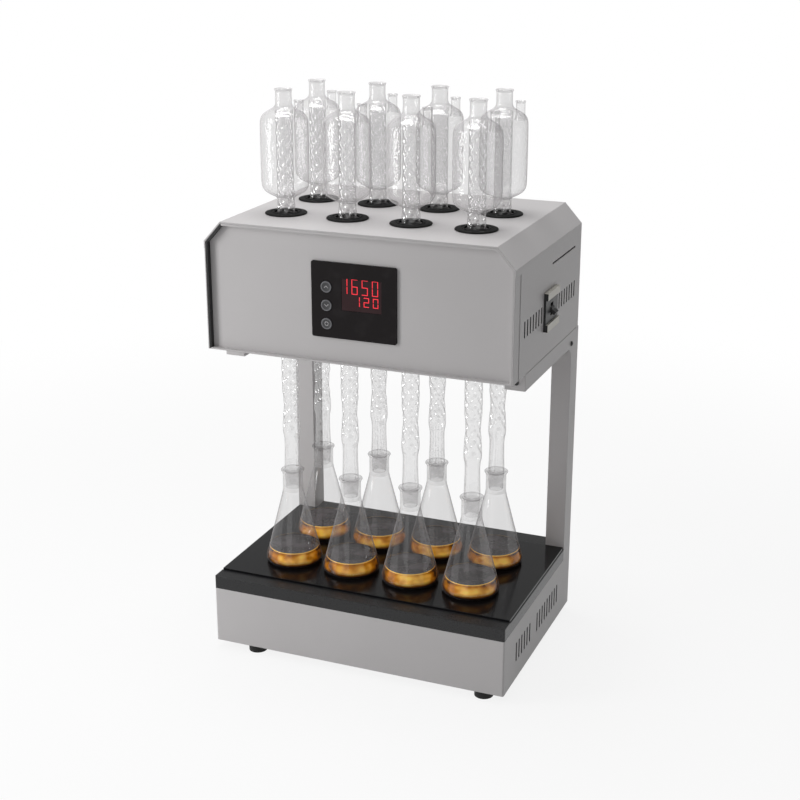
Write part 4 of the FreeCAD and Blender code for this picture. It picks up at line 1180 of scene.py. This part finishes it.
@dataclass
class ControlPanel:
    """Keys and digits of the control panel.

    A key's sign reaches `mark` millimetres from its middle; its strokes are `stroke` wide and
    `rise` high to each side of their own middle. The digits' bars are `segment` metres wide and
    `depth` thick, and `lit` tells which bars make a digit.
    """

    keys: range = range(1, 4)
    mark: float = 2.5
    stroke: float = 0.35
    rise: float = 0.1
    segment: float = 2.1 * MM
    depth: float = 0.25 * MM
    rows: tuple[DigitRow, ...] = (
        DigitRow(-0.023, 0.036, 0.561, 0.583, "1650"),
        DigitRow(-0.004, 0.036, 0.545, 0.5592, "120"),
    )
    lit: dict[str, str] = field(default_factory=lambda: {
        "0": "abcdef", "1": "bc", "2": "abged", "5": "afgcd", "6": "afgedc",
    })

    def build(self) -> None:
        """Make the keys and the digits."""
        for number in self.keys:
            self.key(number)
        self.digits()

    def key(self, number: int) -> None:
        """A round key with a dished top and a pale ring.

        Args:
            number: The key's number.
        """
        node = f"button_{number}"
        low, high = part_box(node)
        radius, length = (high.x - low.x) / 2 / MM, (high.y - low.y) / MM
        outline = rim(
            (0, 0), (radius, 0), (radius, length - 0.8), (radius - 0.25, length - 0.2),
            (radius - 0.8, length), (radius - 1.8, length - 0.15), (radius - 3.5, length - 0.45),
            (0, length - 0.6),
        )
        cap = Bench.turned(f"{node}_cap", outline, 48)
        Bench.smooth_by_angle(cap, 40)
        Wardrobe.dress(cap, Finish.KEY, Finish.KEY_RING)
        for face in cap.data.polygons:
            reach = Vector((face.center.x, face.center.y)).length / MM
            in_ring = radius - 2.0 < reach < radius - 0.3
            face.material_index = int(face.normal.z > 0.5 and in_ring)
        piece = Bench.join(f"{node}_cap", cap, *self.signs(number, length - 0.55))
        forwards = Matrix.Rotation(math.radians(90), 4, "X")
        seat = Vector(((low.x + high.x) / 2, high.y, (low.z + high.z) / 2))
        piece.data.transform(Matrix.Translation(seat) @ forwards)
        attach(piece, f"key_{number}")
        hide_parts(node)
        LOG.info("%s: dished, with its sign", piece.name)

    def signs(self, number: int, level: float) -> list[bpy.types.Object]:
        """The pale sign on a key: an arrow up, an arrow down or a ring.

        Args:
            number: The key's number.
            level: Height of the key's face in millimetres.

        Returns:
            The sign's strokes.
        """
        strokes = []
        if number == self.keys[-1]:
            inner, outer = self.mark - self.stroke, self.mark + self.stroke
            top = level + 2 * self.rise
            outline = rim((inner, level), (outer, level), (outer, top), (inner, top), (inner, level))
            strokes.append(Bench.turned("stroke", outline, 32, closed=True))
        else:
            half = Vector((self.mark * 0.85, self.stroke, self.rise)) * MM
            for side in (-1, 1):
                stroke = Bench.bevelled_box("stroke", -half, half, 0.04 * MM)
                slope = -side if number == self.keys[0] else side
                across = side * self.mark * 0.55 * MM
                place = Matrix.Translation((across, 0, (level + self.rise) * MM))
                stroke.data.transform(place @ Matrix.Rotation(math.radians(45 * slope), 4, "Z"))
                strokes.append(stroke)
        for stroke in strokes:
            Wardrobe.dress(stroke, Finish.KEY_MARK)
        return strokes

    def digits(self) -> None:
        """Seven-segment numbers in front of the window."""
        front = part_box("display_window")[0].y - self.depth
        centre = (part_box("flask_1")[0].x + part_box("flask_4")[1].x) / 2
        bars = []
        for row in self.rows:
            pitch = (row.right - row.left) / len(row.number)
            for place, digit in enumerate(row.number):
                left = row.left + centre + pitch * (place + 0.14)
                foot = Vector((left, front, row.low))
                bars += self.digit(digit, foot, pitch * 0.66, row.high - row.low)
        piece = Bench.join("digits", *bars)
        Wardrobe.dress(piece, Finish.DIGIT)
        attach(piece, "chassis")
        LOG.info("%s: %d bars", piece.name, len(bars))

    def digit(self, digit: str, foot: Vector, width: float, height: float) -> list[bpy.types.Object]:
        """The lit bars of one digit.

        Args:
            digit: The digit.
            foot: Its lower left corner, at the front.
            width: Its width.
            height: Its height.

        Returns:
            The bars.
        """
        half, thick = height / 2, self.segment
        places = {
            "a": Bar(0, height - thick, width, height),
            "b": Bar(width - thick, half, width, height),
            "c": Bar(width - thick, 0, width, half),
            "d": Bar(0, 0, width, thick),
            "e": Bar(0, 0, thick, half),
            "f": Bar(0, half, thick, height),
            "g": Bar(0, half - thick / 2, width, half + thick / 2),
        }
        gap = thick * 0.25
        bars = []
        for letter in self.lit[digit]:
            bar = places[letter]
            low = foot + Vector((bar.left + gap, 0, bar.low + gap))
            high = foot + Vector((bar.right - gap, self.depth, bar.high - gap))
            bars.append(Bench.bevelled_box("bar", low, high, thick * 0.1))
        return bars


@dataclass(frozen=True)
class Spot:
    """A screw's seat and the way that its head faces."""

    seat: Vector
    way: Vector


@dataclass
class Screws:
    """Pan-head screws that hold the arms, the rear panel and the fans.

    The head's `head` radius and `height` are in millimetres, the other sizes in metres.
    """

    head: float = 3.6
    height: float = 2.2
    arm_front: Vector = field(default_factory=lambda: Vector((0.002, 0, 0.0125)))
    arm_side: Vector = field(default_factory=lambda: Vector((0, 0.036, 0.018)))
    rear_edge: float = 0.012
    rear_shares: tuple[float, ...] = (0.16, 0.5, 0.84)
    fan_spread: float = 0.03575

    def form(self) -> bpy.types.Object:
        """A pan head with a socket.

        Returns:
            The form at the origin, head up.
        """
        head, height = self.head, self.height
        outline = rim(
            (0, 0), (head, 0), (head, height * 0.35), (head * 0.93, height * 0.68),
            (head * 0.72, height * 0.92), (head * 0.5, height), (head * 0.44, height * 0.96),
            (head * 0.42, height * 0.3), (0, height * 0.22),
        )
        piece = Bench.turned("screw_form", outline, 24)
        Bench.smooth_by_angle(piece, 40)
        return piece

    def build(self) -> None:
        """Set out the screws of the arms and of the rear panel."""
        form = self.form()
        # painted shade: the arm screws' black also stands in for the shade at the arms' front ends
        self.set_out(form, "arm_screws", self.arm_spots(), Finish.BLACK_PLASTIC, "black_enamel")
        self.set_out(form, "rear_screws", self.rear_spots(), Finish.STEEL, "bare_steel")
        Bench.discard(form)

    @staticmethod
    def set_out(
        form: bpy.types.Object, name: str, spots: list[Spot], finish: Finish, slot: str
    ) -> None:
        """Copy the screw to its seats and join the copies.

        Args:
            form: The screw at the origin, head up.
            name: The piece's name.
            spots: The seats.
            finish: The screws' finish.
            slot: The record's material slot; not used.
        """
        copies = []
        for spot in spots:
            turn = spot.way.to_track_quat("Z", "Y").to_matrix().to_4x4()
            move = Matrix.Translation(spot.seat) @ turn
            copies.append(Bench.moved_copy(form, "screw", move))
        piece = Bench.join(name, *copies)
        Wardrobe.dress(piece, finish)
        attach(piece, "chassis")
        LOG.info("%s: %d", piece.name, len(spots))

    def arm_spots(self) -> list[Spot]:
        """Seats in the arms' front ends and in the right one's outer side.

        Returns:
            The seats.
        """
        spots = []
        for node, side in (("left_upright", -1), ("right_upright", 1)):
            low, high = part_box(node)
            across = (low.x + high.x) / 2 + side * self.arm_front.x
            front = Vector((across, low.y, high.z - self.arm_front.z))
            spots.append(Spot(front, Vector((0, -1, 0))))
        low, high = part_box("right_upright")
        spots.append(Spot(high - self.arm_side, Vector((1, 0, 0))))
        return spots

    def rear_spots(self) -> list[Spot]:
        """Seats along the rear panel's edges and round its fans.

        Returns:
            The seats.
        """
        low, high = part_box("rear_panel")
        seats = [
            (low.x + share * (high.x - low.x), level)
            for level in (low.z + self.rear_edge, high.z - self.rear_edge)
            for share in self.rear_shares
        ]
        spread = (-self.fan_spread, self.fan_spread)
        for node in ("left_fan_rotor", "right_fan_rotor"):
            start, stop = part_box(node)
            hub = (start + stop) / 2
            seats += [(hub.x + across, hub.z + up) for across in spread for up in spread]
        return [Spot(Vector((x, high.y, z)), Vector((0, 1, 0))) for x, z in seats]


# Finishes of the frame's own nodes


@dataclass
class FrameFinishes:
    """Finishes of the nodes whose own shape stays.

    The side vents' cut edges lie within `sheet` metres of the outer sides, `vent_front` behind
    the front and `vent_rear` before the rear. The breaker's middle is sunk by more than `sunk`.
    """

    sheet: float = 0.004
    vent_front: float = 0.025
    vent_rear: float = 0.01
    sunk: float = 0.003
    nodes: dict[Finish, tuple[str, ...]] = field(default_factory=lambda: {
        Finish.GREY: (
            "base_shell", "bottom_plate", "left_upright", "right_upright", "head_cover",
            "front_panel", "head_floor", "rear_panel",
        ),
        Finish.BLACK_COAT: ("plate_frame", "front_liner"),
        Finish.PLATE: ("ceramic_plate",),
        Finish.STEEL: ("heater_tray", "breaker_bracket", "temperature_probe"),
        Finish.FIBRE: ("insulation_board",),
        Finish.CERAMIC: ("heater_elements",),
        Finish.ALUMINIUM: ("power_relay",),
        Finish.BLACK_PLASTIC: (
            "terminal_block", "cable_gland", "fan_frames", "left_fan_rotor", "right_fan_rotor",
            "breaker_toggle",
        ),
        Finish.RUBBER: ("rubber_feet",),
        Finish.BEZEL: ("control_bezel",),
        Finish.WINDOW: ("display_window", "led_display"),
        Finish.BOARD: ("control_board",),
        Finish.CREAM: ("breaker_body",),
    })

    @staticmethod
    def line_and_shade_left_end(liner: bpy.types.Object) -> None:
        """Lining black at the recess's left end, also as painted shade there, and grey elsewhere.

        Args:
            liner: The lining.
        """
        Wardrobe.dress(liner, Finish.BLACK_COAT, Finish.GREY)
        low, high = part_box("head_cover")
        for face in liner.data.polygons:
            reach = max(liner.data.vertices[index].co.x for index in face.vertices)
            # painted shade: the left end's black is a dark lining and also stands in for the shade on
            # the recess's left wall
            face.material_index = int(reach > (low.x + high.x) / 2)

    def shade_breaker(self, breaker: bpy.types.Object) -> None:
        """Paint shade on the breaker: a black flank towards the front and a black sunk middle.

        Args:
            breaker: The breaker's body.
        """
        Wardrobe.dress(breaker, Finish.CREAM, Finish.BLACK_PLASTIC)
        face_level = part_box(breaker.name)[1].x - self.sunk
        for face in breaker.data.polygons:
            in_sunk_shade = face.normal.x > 0.5 and face.center.x < face_level
            # painted shade: black on the flank that faces the front and in the sunk middle, where shade
            # falls
            face.material_index = int(face.normal.y < -0.7 or in_sunk_shade)

    def paint_vent_shade(self, housing: bpy.types.Object) -> None:
        """Paint shade on the side vents: their cut edges black, where the slots lie in shade.

        Args:
            housing: The sheet housing.
        """
        Wardrobe.dress(housing, Finish.GREY, Finish.BLACK_COAT)
        low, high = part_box(housing.name)
        front, rear = low.y + self.vent_front, high.y - self.vent_rear
        for face in housing.data.polygons:
            corners = [housing.data.vertices[index].co for index in face.vertices]
            crosswise = abs(face.normal.y) > 0.9
            within = all(front < corner.y < rear for corner in corners)
            in_sheet = all(min(high.x - at.x, at.x - low.x) < self.sheet for at in corners)
            # painted shade: black on the slots' cut edges stands in for the shade inside the vents
            face.material_index = int(crosswise and within and in_sheet)

    def build(self, nodes: dict[str, bpy.types.Object]) -> None:
        """Dress the nodes.

        Args:
            nodes: The frame's nodes by name.
        """
        for finish, names in self.nodes.items():
            for name in names:
                Wardrobe.dress(nodes[name], finish)
                LOG.info("%s: %s", name, finish.value.name)
        self.line_and_shade_left_end(nodes["front_liner"])
        self.shade_breaker(nodes["breaker_body"])
        for name in ("head_cover", "base_shell"):
            self.paint_vent_shade(nodes[name])


# Studio


@dataclass(frozen=True)
class Lamp:
    """A soft lamp: where it hangs, its width and height in metres and its power in watts."""

    name: str
    spot: tuple[float, float, float]
    width: float
    height: float
    power: float


@dataclass
class Studio:
    """Floor, light and camera.

    The surround shines white for the camera, by `mirrored` in mirrors and by `daylight` on the
    digester. The floor shows its shadow up to `shadow` metres and is plain white past `plain`.
    """

    camera_from_middle: Vector = field(default_factory=lambda: Vector((0.77781, -1.89553, 1.07245)))
    depth_of_middle: float = 0.159
    pitch: float = 18.97
    yaw: float = 22.18
    lens: float = 67.08
    target: Vector = field(default_factory=lambda: Vector((0, 0, 0.4)))
    daylight: float = 0.21
    mirrored: float = 0.42
    floor_size: float = 60.0
    paper: Colour = (0.7, 0.7, 0.7)
    shadow: float = 0.5
    plain: float = 1.8
    bleach: float = 0.86
    lamps: tuple[Lamp, ...] = (
        Lamp("key", (-1.35, -1.05, 0.95), 0.55, 1.5, 20.0),
        Lamp("fill", (-0.2, -3.2, 1.2), 1.8, 1.8, 6.5),
        Lamp("top", (-0.2, 0.1, 2.5), 0.95, 1.2, 37.0),
    )

    def build(self) -> None:
        """Set up the studio."""
        self.floor()
        self.world()
        for lamp in self.lamps:
            self.hang(lamp)
        self.camera()
        bpy.context.scene.view_settings.view_transform = "Standard"

    def floor(self) -> None:
        """A white floor that keeps a faint shadow."""
        Bench.clear()
        bpy.ops.mesh.primitive_plane_add(size=self.floor_size)
        floor = bpy.context.object
        floor.name = "floor"
        dress = Dress("white_floor")
        paper = dress.add("ShaderNodeBsdfDiffuse", None, {"Color": dress.opaque(self.paper)})
        glow = dress.add("ShaderNodeEmission", None, {"Color": WHITE, "Strength": 1.0})
        reach = dress.add(
            "ShaderNodeVectorMath", {"operation": "LENGTH"}, {0: dress.place()}, out="Value"
        )
        seen = dress.rays("Camera", "Glossy", "Transmission")
        amount = seen.maths("MINIMUM", seen, 1.0) * reach.span(self.shadow, self.plain, self.bleach, 1.0)
        floor.data.materials.append(dress.finish(dress.mixed(amount, paper, glow)))
        LOG.info("%s: white", floor.name)

    def world(self) -> None:
        """A surround that looks white, shines dimmer in mirrors and lights dimmer still."""
        dress = Dress("surround", surround=True)
        seen = dress.rays("Camera", "Transmission") * (1 - self.daylight)
        mirrored = dress.rays("Glossy") * (self.mirrored - self.daylight)
        inputs = {"Color": WHITE, "Strength": seen + mirrored + self.daylight}
        bpy.context.scene.world = dress.finish(dress.add("ShaderNodeBackground", None, inputs))
        LOG.info("surround: white")

    def hang(self, lamp: Lamp) -> None:
        """Hang a lamp that faces the digester.

        Args:
            lamp: The lamp.
        """
        light = bpy.data.lights.new(lamp.name, "AREA")
        light.shape = "RECTANGLE"
        light.size = lamp.width
        light.size_y = lamp.height
        light.energy = lamp.power
        hung = bpy.data.objects.new(lamp.name, light)
        hung.location = lamp.spot
        towards = self.target - Vector(lamp.spot)
        hung.rotation_euler = towards.to_track_quat("-Z", "Y").to_euler()
        bpy.context.scene.collection.objects.link(hung)
        LOG.info("%s lamp: %.1f W", lamp.name, lamp.power)

    def camera(self) -> None:
        """The camera at the photograph's angle."""
        left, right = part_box("flask_1")[0].x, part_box("flask_4")[1].x
        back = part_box("left_upright")[1].y
        centre = Vector(((left + right) / 2, back - self.depth_of_middle, 0))
        data = bpy.data.cameras.new("camera")
        data.lens, data.sensor_width = self.lens, 36
        camera = bpy.data.objects.new("camera", data)
        camera.location = centre + self.camera_from_middle
        camera.rotation_euler = (math.radians(90 - self.pitch), 0, math.radians(self.yaw))
        bpy.context.scene.collection.objects.link(camera)
        bpy.context.scene.camera = camera
        LOG.info("camera: %.1f mm", self.lens)


def main() -> None:
    """Load the frame and build the looks."""
    logging.basicConfig(level=logging.INFO, format="%(name)s: %(message)s")
    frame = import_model()
    FrameFinishes().build(frame["nodes"])
    for assembly in (GlassWare(), Collars(), ControlPanel(), Screws(), Studio()):
        assembly.build()


if __name__ == "__main__":
    main()
